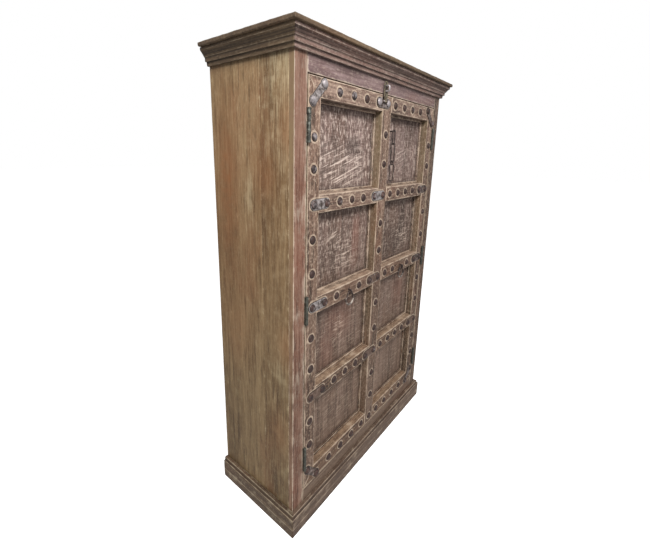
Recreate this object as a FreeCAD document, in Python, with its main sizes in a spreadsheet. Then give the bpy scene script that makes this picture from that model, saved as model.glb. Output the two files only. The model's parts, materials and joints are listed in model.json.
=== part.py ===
import FreeCAD, Part
import Sketcher
import os
import re

# Driving dimensions in millimetres. X runs across the front, Y runs front to back, Z is up.
sizes = {
    # Carcass
    "carcassWidth": 1076,
    "carcassDepth": 408,
    "totalHeight": 1800,
    "sideThickness": 22,
    "backThickness": 12,
    "boardThickness": 22,
    "shelfThickness": 20,
    "shelfSetback": 6,
    "cleatHeight": 20,
    "cleatDepth": 20,
    "stopHeight": 18,
    "stopDepth": 20,
    "stopGap": 0.8,
    # Face frame
    "frameThickness": 22,
    "faceStileWidth": 58,
    "sillTop": 152,
    "sillRailHeight": 120,
    "topRailHeight": 108,
    # Plinth
    "plinthHeight": 98,
    "plinthThickness": 21,
    "plinthCapHeight": 14,
    "plinthCapThickness": 15,
    # Cornice
    "capHeight": 14,
    "capOver": 45,
    "bandOver": 11,
    "bandHeight": 13,
    "stepOver": 17,
    "stepHeight": 12,
    "coveHeight": 21,
    "coveRadius": 26,
    "filletOver": 35,
    "filletHeight": 9,
    # Doors
    "doorGap": 3,
    "hingeGap": 5,
    "meetingGap": 3.5,
    "doorStileWidth": 60,
    "doorRailHeight": 62,
    "doorFrameThickness": 40,
    "meetingStileWidth": 69,
    "meetingStileShift": 6.5,
    "plankThickness": 20,
    "plankSetback": 8,
    "beadWidth": 9,
    "beadDepth": 10,
    # Studs and straps
    "studWidth": 30,
    "studRise": 8,
    "studShankWidth": 8,
    "studShankLength": 24,
    "strapLength": 104,
    "strapWidth": 38,
    "strapThickness": 4,
    "braceLength": 112,
    "braceWidth": 34,
    "braceWaist": 28,
    "braceInset": 46,
    "studEndInset": 17,
    # Butt hinges
    "hingeLength": 104,
    "hingeLeafThickness": 2,
    "hingeLeafDepth": 18,
    "hingeBarrelWidth": 12,
    "hingePinWidth": 6,
    "hingePinFit": 0.05,
    "hingeKnuckleGap": 0.4,
    "hingeFaceGap": 0.3,
    "hingeTopDrop": 147,
    "hingeBottomRise": 143,
    # Ring pulls
    "ringRodWidth": 8,
    "ringTopWidth": 18,
    "ringBottomWidth": 52,
    "ringDrop": 30,
    "ringFall": 2,
    "eyeRodWidth": 6,
    "eyeReach": 9,
    "ironGap": 0.3,
    # Hasp and its staple
    "haspWidth": 27,
    "haspThickness": 4,
    "haspSlotWidth": 12,
    "haspSlotStart": 31,
    "haspSlotLength": 37,
    "haspTip": 7,
    "haspKnuckleWidth": 10,
    "haspKnuckleLength": 12,
    "haspEarLength": 8,
    "haspPinWidth": 5,
    "haspRise": 4,
    "lintelStapleRodWidth": 7,
    "lintelStapleRise": 38,
    "lintelStapleHeight": 20,
    "lintelStapleReach": 24,
    "stapleLegDepth": 14,
    # Chain
    "chainRodWidth": 5,
    "chainInset": 57,
    "chainStapleWidth": 28,
    "chainStapleReach": 26,
    "upperLinkWidth": 10.6,
    "middleLinkWidth": 31,
    "endEyeWidth": 10.6,
    "endLoopWidth": 36,
}

# Where the studs of each door stile stand, as shares of the panel height, from the lowest panel up.
hingeStileShares = [(0.41, 0.76), (0.30, 0.71), (0.31, 0.71), (0.28, 0.61)]
meetingStileShares = [(0.30, 0.70), (0.27, 0.69), (0.30, 0.70), (0.32, 0.71)]

# How far down its panel the chain hangs and how long its links are, as shares of the panel height.
chainDropShare = 0.225
upperLinkShare = 0.2
middleLinkShare = 0.265
endEyeShare = 0.05
endLoopShare = 0.235

boardsPerSide = 3
boardsPerBack = 7
planksPerDoor = 4
panelsPerDoor = 4
railNames = ["bottom", "lower", "middle", "upper", "top"]
shelfNames = ["lower", "middle", "upper"]
hingeKnuckles = 5
railStudSteps = 4

# Places that follow from the driving dimensions, written as formulas of them.
derived = {
    "halfWidth": "carcassWidth/2",
    "faceY": "-(carcassDepth - capOver)/2",
    "backY": "faceY + carcassDepth",
    "frameBackY": "faceY + frameThickness",
    "innerX": "halfWidth - sideThickness",
    "innerBackY": "backY - backThickness",
    "capBottom": "totalHeight - capHeight",
    "corniceBottom": "capBottom - bandHeight - stepHeight - coveHeight - filletHeight",
    "openingX": "halfWidth - faceStileWidth",
    "doorX": "openingX - hingeGap",
    "doorBottom": "sillTop + doorGap",
    "openingTop": "capBottom - topRailHeight",
    "doorTop": "openingTop - doorGap",
    "doorHeight": "doorTop - doorBottom",
    "doorFrameBackY": "faceY + doorFrameThickness",
    "doorBackY": "doorFrameBackY + plankThickness",
    "meetingLeft": "meetingStileShift - meetingStileWidth/2",
    "meetingRight": "meetingStileShift + meetingStileWidth/2",
    "rightDoorLeft": "meetingRight + meetingGap",
    "stileInnerX": "doorX - doorStileWidth",
    "panelHeight": f"(doorHeight - doorRailHeight*{panelsPerDoor + 1})/{panelsPerDoor}",
    "railPitch": "panelHeight + doorRailHeight",
    "shelfFrontY": "doorBackY + shelfSetback",
    "shelfPitch": f"(openingTop - sillTop)/{len(shelfNames) + 1}",
    "hingeRadius": "hingeBarrelWidth/2",
    "pinX": "openingX - hingeGap/2",
    "pinY": "faceY - hingeFaceGap - hingeRadius",
    "strapStudX": "doorX - doorStileWidth/2",
    "strapInnerStudX": "strapStudX - strapLength + 2*studEndInset",
    "meetingStudX": "meetingStileShift",
    "meetingStrapStudX": "meetingStudX - strapLength + 2*studEndInset",
    "braceStudReach": "(braceLength - braceWidth)/2/sqrt(2)",
    "braceRailStudX": "doorX - braceInset - braceStudReach",
    "railStudPitch": f"(strapInnerStudX + meetingStrapStudX)/{railStudSteps}",
    "cornerStudPitch": f"(braceRailStudX + meetingStrapStudX)/{railStudSteps}",
    "rightStudStart": "rightDoorLeft + doorStileWidth/2",
    "rightStudPitch": f"(strapInnerStudX - rightStudStart)/{railStudSteps}",
    "rightCornerStudPitch": f"(braceRailStudX - rightStudStart)/{railStudSteps}",
    "leftRingX": f"-strapInnerStudX + railStudPitch*{railStudSteps}/2",
    "rightRingX": f"rightStudStart + rightStudPitch*{railStudSteps}/2",
    "ringZ": "doorBottom + 2*railPitch + doorRailHeight/2 - ringFall",
    "ringY": "faceY - eyeReach",
    "haspX": "(meetingStudX + meetingStrapStudX)/2",
    "haspZ": "doorTop - doorRailHeight/2 + haspRise",
    "haspY": "faceY - strapThickness - haspKnuckleWidth/2 + ironGap",
    "chainX": "rightDoorLeft + chainInset",
    "chainY": "doorFrameBackY - chainStapleReach",
    "chainZ": f"doorTop - doorRailHeight - panelHeight*{chainDropShare}",
    "chainSeat": "chainRodWidth + ironGap",
    "upperLinkLength": f"panelHeight*{upperLinkShare}",
    "middleLinkLength": f"panelHeight*{middleLinkShare}",
    "endEyeLength": f"panelHeight*{endEyeShare}",
    "endLoopLength": f"panelHeight*{endLoopShare}",
}

doc = FreeCAD.newDocument("cupboard")
sheet = doc.addObject("Spreadsheet::Sheet", "Sizes")
for row, (alias, size) in enumerate(sizes.items(), start=1):
    sheet.set(f"A{row}", alias)
    sheet.set(f"B{row}", str(size))
    sheet.setAlias(f"B{row}", alias)
doc.recompute()

nodes = []
rodTurns = {
    "x": FreeCAD.Rotation(FreeCAD.Vector(0, 1, 0), 90),
    "y": FreeCAD.Rotation(FreeCAD.Vector(1, 0, 0), -90),
    "z": FreeCAD.Rotation(),
}


def formula(text):
    # Spell a formula out in the cells of the sheet.
    def spell(match):
        word = match.group(0)
        if word in derived:
            return f"({formula(derived[word])})"
        return f"Sizes.{word}" if word in sizes else word
    return re.sub(r"[A-Za-z]\w*", spell, str(text))


def bind(thing, **values):
    for name, text in values.items():
        thing.setExpression(name, formula(text))
    return thing


def place(thing, x, y, z, turn=None):
    if turn is not None:
        thing.Placement = FreeCAD.Placement(FreeCAD.Vector(), turn)
    for axis, text in zip("xyz", (x, y, z)):
        thing.setExpression(f"Placement.Base.{axis}", formula(text))
    return thing


def node(thing, label):
    thing.Label = label
    nodes.append(thing)
    return thing


def block(x, y, z):
    # A board between two places on each axis.
    thing = doc.addObject("Part::Box", "Board")
    bind(thing, Length=f"({x[1]}) - ({x[0]})", Width=f"({y[1]}) - ({y[0]})", Height=f"({z[1]}) - ({z[0]})")
    return place(thing, x[0], y[0], z[0])


def rod(axis, start, length, width):
    thing = doc.addObject("Part::Cylinder", "Rod")
    bind(thing, Radius=f"({width})/2", Height=length)
    return place(thing, *start, rodTurns[axis])


def ball(centre, width):
    thing = doc.addObject("Part::Sphere", "Ball")
    bind(thing, Radius=f"({width})/2")
    return place(thing, *centre)


def fuse(pieces):
    thing = doc.addObject("Part::MultiFuse", "Union")
    thing.Shapes = pieces
    return thing


def cut(base, tool):
    thing = doc.addObject("Part::Cut", "Cut")
    thing.Base = base
    thing.Tool = tool
    return thing


def group(pieces):
    thing = doc.addObject("Part::Compound", "Group")
    thing.Links = pieces
    return thing


def copy(master, x, y, z, turn):
    thing = doc.addObject("App::Link", "Copy")
    thing.LinkedObject = master
    thing.LinkTransform = False
    return place(thing, x, y, z, turn)


def trapezoid(across, near, far, thickness, turn, base):
    # A board with slanted ends: across is its width, near and far are its two long edges.
    thing = doc.addObject("Part::Wedge", "MitredBoard")
    bind(thing, Ymin=across[0], Ymax=across[1], Xmin=near[0], Xmax=near[1], X2min=far[0], X2max=far[1])
    bind(thing, Zmin=thickness[0], Zmax=thickness[1], Z2min=thickness[0], Z2max=thickness[1])
    return place(thing, *base, turn)


def mitredFront(depth, z):
    # A board along the front whose ends are mitred outwards from the carcass corners.
    return trapezoid((f"faceY - ({depth})", "faceY"),
                     (f"-halfWidth - ({depth})", f"halfWidth + ({depth})"), ("-halfWidth", "halfWidth"),
                     z, FreeCAD.Rotation(), ("0", "0", "0"))


def mitredSide(side, depth, z):
    # A board along one side of the carcass, mitred at its front end.
    inner = ("faceY", "backY")
    outer = (f"faceY - ({depth})", "backY")
    turn = FreeCAD.Rotation(FreeCAD.Vector(0, 0, 1), 90)
    if side < 0:
        return trapezoid(("halfWidth", f"halfWidth + ({depth})"), inner, outer, z, turn, ("0", "0", "0"))
    return trapezoid((f"-halfWidth - ({depth})", "-halfWidth"), outer, inner, z, turn, ("0", "0", "0"))


def boardRow(count, x, y, z, axis):
    # Boards edge to edge along one axis.
    spans = {"x": x, "y": y}
    low, high = spans[axis]
    pieces = []
    for index in range(count):
        spans[axis] = (f"({low}) + (({high}) - ({low}))*{index}/{count}",
                       f"({low}) + (({high}) - ({low}))*{index + 1}/{count}")
        pieces.append(block(spans["x"], spans["y"], z))
    return group(pieces)


def mirrored(side, low, high):
    # The same span on the left (-1) or on the right (1) of the middle.
    return (low, high) if side > 0 else (f"-({high})", f"-({low})")


# Carcass
sideNames = {-1: "left", 1: "right"}
inside = ("-innerX", "innerX")
insideDepth = ("frameBackY", "innerBackY")
for side, name in sideNames.items():
    sideX = mirrored(side, "innerX", "halfWidth")
    node(boardRow(boardsPerSide, sideX, ("frameBackY", "backY"), ("0", "capBottom"), "y"), f"{name}_side_panel")
node(boardRow(boardsPerBack, inside, ("innerBackY", "backY"), ("0", "capBottom"), "x"), "back_boards")
node(block(inside, insideDepth, ("sillTop - boardThickness", "sillTop")), "bottom_board")
node(block(inside, insideDepth, ("openingTop", "openingTop + boardThickness")), "top_board")

shelfTops = [f"sillTop + shelfPitch*{level + 1} + shelfThickness/2" for level in range(len(shelfNames))]
shelfDepth = ("shelfFrontY", "innerBackY")
for name, top in zip(shelfNames, shelfTops):
    node(block(inside, shelfDepth, (f"{top} - shelfThickness", top)), f"{name}_shelf")
cleatTops = [f"{top} - shelfThickness" for top in shelfTops] + ["sillTop - boardThickness", "openingTop"]
cleatDepth = ("shelfFrontY + stopDepth", "innerBackY")
cleats = []
for top in cleatTops:
    for side in sideNames:
        cleatX = mirrored(side, "innerX - cleatDepth", "innerX")
        cleats.append(block(cleatX, cleatDepth, (f"{top} - cleatHeight", top)))
node(group(cleats), "shelf_cleats")
stopY = ("doorBackY + stopGap", "doorBackY + stopGap + stopDepth")
node(block(inside, stopY, ("openingTop - stopHeight", "openingTop")), "door_stop")

# Face frame
faceDepth = ("faceY", "frameBackY")
for side, name in sideNames.items():
    stileX = mirrored(side, "openingX", "halfWidth")
    node(block(stileX, faceDepth, ("0", "capBottom")), f"{name}_face_stile")
opening = ("-openingX", "openingX")
node(block(opening, faceDepth, ("openingTop", "capBottom")), "top_face_rail")
node(block(opening, faceDepth, ("sillTop - sillRailHeight", "sillTop")), "bottom_face_rail")

# Plinth, a board with a thinner step along its top
plinthBody = ("0", "plinthHeight - plinthCapHeight")
plinthCap = ("plinthHeight - plinthCapHeight", "plinthHeight")
plinthFront = [mitredFront("plinthThickness", plinthBody), mitredFront("plinthCapThickness", plinthCap)]
node(fuse(plinthFront), "plinth_front")
for side, name in sideNames.items():
    steps = [mitredSide(side, "plinthThickness", plinthBody), mitredSide(side, "plinthCapThickness", plinthCap)]
    node(fuse(steps), f"plinth_{name}")

# Cornice
mouldingCorners = [
    ("0", "0"),
    ("bandOver", "0"),
    ("bandOver", "bandHeight"),
    ("stepOver", "bandHeight"),
    ("stepOver", "bandHeight + stepHeight"),
    ("filletOver", "bandHeight + stepHeight + coveHeight"),
    ("filletOver", "capBottom - corniceBottom"),
    ("0", "capBottom - corniceBottom"),
]
coveStart = 4
lineStart, lineEnd = range(1, 3)


def value(text):
    return sheet.evalExpression(formula(text))


def pinCorner(sketch, index, axis, text):
    # Hold one corner of the section at its place along one axis.
    line, end = (index, lineStart) if index != coveStart else (index - 1, lineEnd)
    if text == "0":
        sketch.addConstraint(Sketcher.Constraint("PointOnObject", line, end, -2 if axis == "X" else -1))
        return
    pin = sketch.addConstraint(Sketcher.Constraint(f"Distance{axis}", -1, 1, line, end, value(text)))
    sketch.setExpression(f"Constraints[{pin}]", formula(text))


def coveArc(start, end, radius):
    # The hollow of the moulding: an arc whose centre lies outside and below the middle of its chord.
    chord = end - start
    middle = (start + end)/2
    away = FreeCAD.Vector(chord.y, -chord.x, 0).normalize()
    centre = middle + away*(radius**2 - (chord.Length/2)**2)**0.5
    hollow = centre - away*radius
    return Part.Arc(end, hollow, start)


def moulding(length, turn, base):
    # A run of moulding: its section drawn outwards in x and upwards in y, and padded along z.
    body = doc.addObject("PartDesign::Body", "Moulding")
    sketch = body.newObject("Sketcher::SketchObject", "Section")
    plane = next(item for item in body.Origin.OriginFeatures if item.Role == "XY_Plane")
    sketch.AttachmentSupport = [(plane, "")]
    sketch.MapMode = "FlatFace"
    corners = [FreeCAD.Vector(value(x), value(y), 0) for x, y in mouldingCorners]
    count = len(corners)
    for index, start in enumerate(corners):
        end = corners[(index + 1) % count]
        if index == coveStart:
            sketch.addGeometry(coveArc(start, end, value("coveRadius")))
        else:
            sketch.addGeometry(Part.LineSegment(start, end))
    for index in range(count):
        following = (index + 1) % count
        lastEnd = lineStart if index == coveStart else lineEnd
        nextEnd = lineEnd if following == coveStart else lineStart
        sketch.addConstraint(Sketcher.Constraint("Coincident", index, lastEnd, following, nextEnd))
    for index, (x, y) in enumerate(mouldingCorners):
        pinCorner(sketch, index, "X", x)
        pinCorner(sketch, index, "Y", y)
    cove = sketch.addConstraint(Sketcher.Constraint("Radius", coveStart, value("coveRadius")))
    sketch.setExpression(f"Constraints[{cove}]", formula("coveRadius"))
    pad = body.newObject("PartDesign::Pad", "Run")
    pad.Profile = sketch
    bind(pad, Length=length)
    return place(body, *base, turn)


def mitred(run, limits):
    thing = doc.addObject("Part::Common", "MitredRun")
    thing.Base = run
    thing.Tool = limits
    return thing


def axes(x, y, z):
    return FreeCAD.Rotation(FreeCAD.Vector(*x), FreeCAD.Vector(*y), FreeCAD.Vector(*z), "XYZ")


mouldingZ = ("corniceBottom", "capBottom")
frontRun = moulding("carcassWidth + 2*capOver", axes((0, -1, 0), (0, 0, 1), (-1, 0, 0)),
                    ("halfWidth + capOver", "faceY", "corniceBottom"))
node(mitred(frontRun, mitredFront("capOver", mouldingZ)), "cornice_front")
sideRunLength = "carcassDepth + capOver"
leftRun = moulding(sideRunLength, axes((-1, 0, 0), (0, 0, 1), (0, 1, 0)),
                   ("-halfWidth", "faceY - capOver", "corniceBottom"))
node(mitred(leftRun, mitredSide(-1, "capOver", mouldingZ)), "cornice_left")
rightRun = moulding(sideRunLength, axes((1, 0, 0), (0, 0, 1), (0, -1, 0)),
                    ("halfWidth", "backY", "corniceBottom"))
node(mitred(rightRun, mitredSide(1, "capOver", mouldingZ)), "cornice_right")
capX = ("-halfWidth - capOver", "halfWidth + capOver")
node(block(capX, ("faceY - capOver", "backY"), ("capBottom", "totalHeight")), "cornice_cap")

# Butt hinges, three to a door
hingeHeights = ["doorTop - hingeTopDrop", "doorBottom + doorHeight/2", "doorBottom + hingeBottomRise"]
leafDepth = ("faceY", "faceY + hingeLeafDepth")


def hingeLeaf(side, height, leafX, knuckles):
    # One leaf with its knuckles, bored for the pin.
    foot = f"{height} - hingeLength/2"
    pieces = [block(leafX, leafDepth, (foot, f"{height} + hingeLength/2"))]
    for index in knuckles:
        low = f"{foot} + hingeLength*{index}/{hingeKnuckles} + hingeKnuckleGap/2"
        high = f"{foot} + hingeLength*{index + 1}/{hingeKnuckles} - hingeKnuckleGap/2"
        pieces.append(block(leafX, ("pinY", "faceY"), (low, high)))
        pieces.append(rod("z", (f"{side}*pinX", "pinY", low), f"({high}) - ({low})", "hingeBarrelWidth"))
    bore = rod("z", (f"{side}*pinX", "pinY", foot), "hingeLength", "hingePinWidth + 2*hingePinFit")
    return cut(fuse(pieces), bore)


for side, name in sideNames.items():
    frameX = mirrored(side, "openingX - hingeLeafThickness", "openingX")
    doorLeafX = mirrored(side, "doorX", "doorX + hingeLeafThickness")
    frameKnuckles = range(0, hingeKnuckles, 2)
    doorKnuckles = range(1, hingeKnuckles, 2)
    frameLeaves = [hingeLeaf(side, height, frameX, frameKnuckles) for height in hingeHeights]
    node(group(frameLeaves), f"{name}_hinge_frame_leaves")
    doorLeaves = [hingeLeaf(side, height, doorLeafX, doorKnuckles) for height in hingeHeights]
    node(group(doorLeaves), f"{name}_hinge_door_leaves")
    pinFeet = [(f"{side}*pinX", "pinY", f"{height} - hingeLength/2") for height in hingeHeights]
    node(group([rod("z", foot, "hingeLength", "hingePinWidth") for foot in pinFeet]), f"{name}_hinge_pins")

# Door timbers
standing = FreeCAD.Rotation(FreeCAD.Vector(1, 1, 1), -120)
lying = FreeCAD.Rotation(FreeCAD.Vector(1, 0, 0), 90)
doorZ = ("doorBottom", "doorTop")
doorFrameDepth = ("faceY", "doorFrameBackY")
thicknessSpan = ("0", "doorFrameThickness")
longEdge = ("0", "doorHeight")
shortEdge = ("doorRailHeight", "doorHeight - doorRailHeight")
stileSpan = ("0", "doorStileWidth")
railSpan = ("0", "doorRailHeight")
railFeet = [f"doorBottom + railPitch*{level}" for level in range(len(railNames))]
railMiddles = [f"{foot} + doorRailHeight/2" for foot in railFeet]
doorEdges = {-1: ("-doorX", "-stileInnerX", "meetingLeft"), 1: ("doorX", "stileInnerX", "rightDoorLeft")}


def cornerRail(side, level, foot):
    # The top or bottom rail, mitred into the hinge stile.
    hinge, inner, meeting = doorEdges[side]
    outerEdge = (hinge, meeting) if side < 0 else (meeting, hinge)
    innerEdge = (inner, meeting) if side < 0 else (meeting, inner)
    near, far = (outerEdge, innerEdge) if level == 0 else (innerEdge, outerEdge)
    return trapezoid(railSpan, near, far, thicknessSpan, lying, ("0", "doorFrameBackY", foot))


for side, name in sideNames.items():
    hinge, inner, meeting = doorEdges[side]
    edges = (longEdge, shortEdge) if side < 0 else (shortEdge, longEdge)
    stileFoot = (hinge if side < 0 else inner, "faceY", "doorBottom")
    node(trapezoid(stileSpan, *edges, thicknessSpan, standing, stileFoot), f"{name}_hinge_stile")
    for level, (railName, foot) in enumerate(zip(railNames, railFeet)):
        if level in (0, len(railNames) - 1):
            rail = cornerRail(side, level, foot)
        else:
            railX = (inner, meeting) if side < 0 else (meeting, inner)
            rail = block(railX, doorFrameDepth, (foot, f"{foot} + doorRailHeight"))
        node(rail, f"{name}_rail_{railName}")
node(block(("meetingLeft", "meetingRight"), doorFrameDepth, doorZ), "left_meeting_stile")

plankEdges = {-1: ("-doorX", "meetingRight - plankSetback"), 1: ("rightDoorLeft + plankSetback", "doorX")}
panelEdges = {-1: ("-stileInnerX", "meetingLeft"), 1: ("rightDoorLeft + plankSetback", "stileInnerX")}
beadY = ("doorFrameBackY - beadDepth", "doorFrameBackY")
for side, name in sideNames.items():
    planks = boardRow(planksPerDoor, plankEdges[side], ("doorFrameBackY", "doorBackY"), doorZ, "x")
    node(planks, f"{name}_planks")
    low, high = panelEdges[side]
    beads = []
    for foot in railFeet[:-1]:
        bottom = f"{foot} + doorRailHeight"
        top = f"{bottom} + panelHeight"
        beads.append(block((low, high), beadY, (bottom, f"{bottom} + beadWidth")))
        beads.append(block((low, high), beadY, (f"{top} - beadWidth", top)))
        between = (f"{bottom} + beadWidth", f"{top} - beadWidth")
        beads.append(block((low, f"{low} + beadWidth"), beadY, between))
        beads.append(block((f"{high} - beadWidth", high), beadY, between))
    node(group(beads), f"{name}_panel_beads")

# Straps and corner braces, drawn lying flat and turned to stand on the door
strapHalf = "(strapLength - strapWidth)/2"
plateZ = ("0", "strapThickness")
strapEnds = [rod("z", (f"{end}*({strapHalf})", "0", "0"), "strapThickness", "strapWidth") for end in sideNames]
strapBar = block((f"-({strapHalf})", strapHalf), ("-strapWidth/2", "strapWidth/2"), plateZ)
strap = fuse([strapBar] + strapEnds)
braceHalf = "(braceLength - braceWidth)/2"
braceEnds = [rod("z", (f"{end}*({braceHalf})", "0", "0"), "strapThickness", "braceWidth") for end in sideNames]
braceBar = block((f"-({braceHalf})", braceHalf), ("-braceWaist/2", "braceWaist/2"), plateZ)
brace = fuse([braceBar] + braceEnds)
slant = 45
middleRails = range(1, len(railNames) - 1)
for side, name in sideNames.items():
    plates = []
    for level in middleRails:
        strapX = f"{side}*(strapStudX + strapInnerStudX)/2"
        plates.append(copy(strap, strapX, "faceY", railMiddles[level], lying))
        if side < 0:
            plates.append(copy(strap, "haspX", "faceY", railMiddles[level], lying))
    for end, corner in ((1, "doorTop - braceInset"), (-1, "doorBottom + braceInset")):
        turn = lying.multiply(FreeCAD.Rotation(FreeCAD.Vector(0, 0, 1), -side*end*slant))
        plates.append(copy(brace, f"{side}*(doorX - braceInset)", "faceY", corner, turn))
    node(group(plates), f"{name}_straps")

# Domed studs
dome = doc.addObject("Part::Sphere", "Dome")
domeRadius = "((studWidth^2/4 + studRise^2)/(2*studRise))"
bind(dome, Radius=domeRadius, Angle1=f"asin(1 - studRise/{domeRadius})")
place(dome, "0", "0", f"studRise - {domeRadius}")
stud = fuse([dome, rod("z", ("0", "0", "-studShankLength"), "studShankLength", "studShankWidth")])


def studsAt(places, seat):
    return [copy(stud, x, seat, z, lying) for x, z in places]


onWood = "faceY"
onStrap = "faceY - strapThickness"
ringLevel = len(railNames)//2
panelFeet = [f"{foot} + doorRailHeight" for foot in railFeet[:-1]]
for side, name in sideNames.items():
    wood = []
    plated = []
    for foot, shares in zip(panelFeet, hingeStileShares):
        wood += [(f"{side}*strapStudX", f"{foot} + panelHeight*{share}") for share in shares]
    for level, middle in enumerate(railMiddles):
        corner = level not in middleRails
        if side < 0:
            start = "-braceRailStudX" if corner else "-strapInnerStudX"
            pitch = "cornerStudPitch" if corner else "railStudPitch"
        else:
            start = "rightStudStart"
            pitch = "rightCornerStudPitch" if corner else "rightStudPitch"
        for step in range(1 if side < 0 else 0, railStudSteps):
            if level != ringLevel or step != railStudSteps//2:
                wood.append((f"{start} + {pitch}*{step}", middle))
        if not corner:
            plated += [(f"{side}*strapStudX", middle), (f"{side}*strapInnerStudX", middle)]
        if side < 0:
            meetingPair = [("meetingStudX", middle), ("meetingStrapStudX", middle)]
            if level == 0:
                wood += meetingPair
            else:
                plated += meetingPair
    for end, corner in ((1, "doorTop - braceInset"), (-1, "doorBottom + braceInset")):
        plated.append((f"{side}*(doorX - braceInset + braceStudReach)", f"{corner} - {end}*braceStudReach"))
        plated.append((f"{side}*braceRailStudX", f"{corner} + {end}*braceStudReach"))
    if side < 0:
        for foot, shares in zip(panelFeet, meetingStileShares):
            wood += [("meetingStudX", f"{foot} + panelHeight*{share}") for share in shares]
    node(group(studsAt(wood, onWood) + studsAt(plated, onStrap)), f"{name}_studs")


# Ironwork bent from rod
def rectangle(first, firstSpan, second, secondSpan, at, width, closed=True):
    # Rods along the sides of a rectangle that lies along two axes, with round corners.
    # An open one has no rod along its lower side.
    third = next(letter for letter in "xyz" if letter not in (first, second))

    def corner(one, other):
        places = {first: one, second: other, third: at}
        return tuple(places[letter] for letter in "xyz")

    pieces = [ball(corner(one, other), width) for one in firstSpan for other in secondSpan]
    length = f"({firstSpan[1]}) - ({firstSpan[0]})"
    bars = secondSpan if closed else secondSpan[1:]
    pieces += [rod(first, corner(firstSpan[0], other), length, width) for other in bars]
    length = f"({secondSpan[1]}) - ({secondSpan[0]})"
    pieces += [rod(second, corner(one, secondSpan[0]), length, width) for one in firstSpan]
    return pieces


def staple(axis, span, at, front, back, width):
    # Two legs along y joined at the front by a bar along x or z.
    def point(along, y):
        return (along, y, at) if axis == "x" else (at, y, along)

    pieces = [ball(point(along, front), width) for along in span]
    pieces += [rod("y", point(along, front), f"({back}) - ({front})", width) for along in span]
    pieces.append(rod(axis, point(span[0], front), f"({span[1]}) - ({span[0]})", width))
    return fuse(pieces)


def hangingHalfRing(centre, loopWidth, width):
    thing = doc.addObject("Part::Torus", "HalfRing")
    bind(thing, Radius1=f"({loopWidth})/2", Radius2=f"({width})/2")
    thing.Angle3 = 180
    return place(thing, *centre, FreeCAD.Rotation(FreeCAD.Vector(1, 0, 0), -90))


def slantedRod(foot, lean, rise, width):
    # A rod that leans sideways by lean over its rise.
    thing = doc.addObject("Part::Cylinder", "SlantedRod")
    bind(thing, Radius=f"({width})/2", Height=f"sqrt(({lean})^2 + ({rise})^2)")
    place(thing, *foot, FreeCAD.Rotation(FreeCAD.Vector(0, 1, 0), slant))
    thing.setExpression("Placement.Rotation.Angle", formula(f"atan(({lean})/({rise}))"))
    return thing


# Ring pulls, each hanging by its straight top bar in an eye
eyeSeat = "(ringRodWidth + eyeRodWidth)/2 + ironGap"
ringLean = "(ringTopWidth - ringBottomWidth)/2"
for name, ringX in (("left", "leftRingX"), ("right", "rightRingX")):
    eyeSpan = (f"ringZ - ({eyeSeat})", f"ringZ + {eyeSeat}")
    eye = staple("z", eyeSpan, ringX, f"ringY - ({eyeSeat})", "faceY + stapleLegDepth", "eyeRodWidth")
    node(eye, f"{name}_ring_eye")
    ring = [rod("x", (f"{ringX} - ringTopWidth/2", "ringY", "ringZ"), "ringTopWidth", "ringRodWidth")]
    ring.append(hangingHalfRing((ringX, "ringY", "ringZ - ringDrop"), "ringBottomWidth", "ringRodWidth"))
    for end in sideNames:
        foot = (f"{ringX} + {end}*ringBottomWidth/2", "ringY", "ringZ - ringDrop")
        ring.append(slantedRod(foot, f"{end}*({ringLean})", "ringDrop", "ringRodWidth"))
        ring.append(ball(foot, "ringRodWidth"))
        ring.append(ball((f"{ringX} + {end}*ringTopWidth/2", "ringY", "ringZ"), "ringRodWidth"))
    node(fuse(ring), f"{name}_ring_pull")

# Hasp: a plate like the straps with two ears and a pin, a slotted bar, and the staple on the lintel
earStart = "haspKnuckleLength/2 + ironGap"
plate = [block((f"haspX - {strapHalf}", f"haspX + {strapHalf}"), (onStrap, "faceY"),
               ("haspZ - haspRise - strapWidth/2", "haspZ - haspRise + strapWidth/2"))]
for end in sideNames:
    plate.append(rod("y", (f"haspX + {end}*({strapHalf})", onStrap, "haspZ - haspRise"),
                     "strapThickness", "strapWidth"))
earFeet = [f"haspX + {earStart}", f"haspX - ({earStart}) - haspEarLength"]
for foot in earFeet:
    plate.append(rod("x", (foot, "haspY", "haspZ"), "haspEarLength", "haspKnuckleWidth"))
pinStart = (f"haspX - ({earStart}) - haspEarLength", "haspY", "haspZ")
pinLength = f"2*({earStart} + haspEarLength)"
boreWidth = "haspPinWidth + 2*hingePinFit"
haspPin = rod("x", pinStart, pinLength, "haspPinWidth")
node(group([cut(fuse(plate), rod("x", pinStart, pinLength, boreWidth)), haspPin]), "hasp_plate")

haspDepth = ("haspY - haspThickness/2", "haspY + haspThickness/2")
haspShoulder = "haspKnuckleWidth/2 + haspThickness/2"
haspEnd = "haspSlotStart + haspSlotLength + haspTip - haspWidth/2"
slotSides = ("haspX - haspSlotWidth/2", "haspX + haspSlotWidth/2")
bar = [
    rod("x", ("haspX - haspKnuckleLength/2", "haspY", "haspZ"), "haspKnuckleLength",
        "haspKnuckleWidth - 4*ironGap"),
    block(("haspX - haspKnuckleLength/2", "haspX + haspKnuckleLength/2"), haspDepth,
          ("haspZ", f"haspZ + {haspShoulder}")),
    block(("haspX - haspWidth/2", "haspX + haspWidth/2"), haspDepth,
          (f"haspZ + {haspShoulder}", f"haspZ + {haspEnd}")),
    rod("y", ("haspX", haspDepth[0], f"haspZ + {haspEnd}"), "haspThickness", "haspWidth"),
]
slot = block(slotSides, haspDepth,
             ("haspZ + haspSlotStart", "haspZ + haspSlotStart + haspSlotLength"))
haspBore = rod("x", pinStart, pinLength, boreWidth)
node(cut(cut(fuse(bar), slot), haspBore), "hasp")

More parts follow.
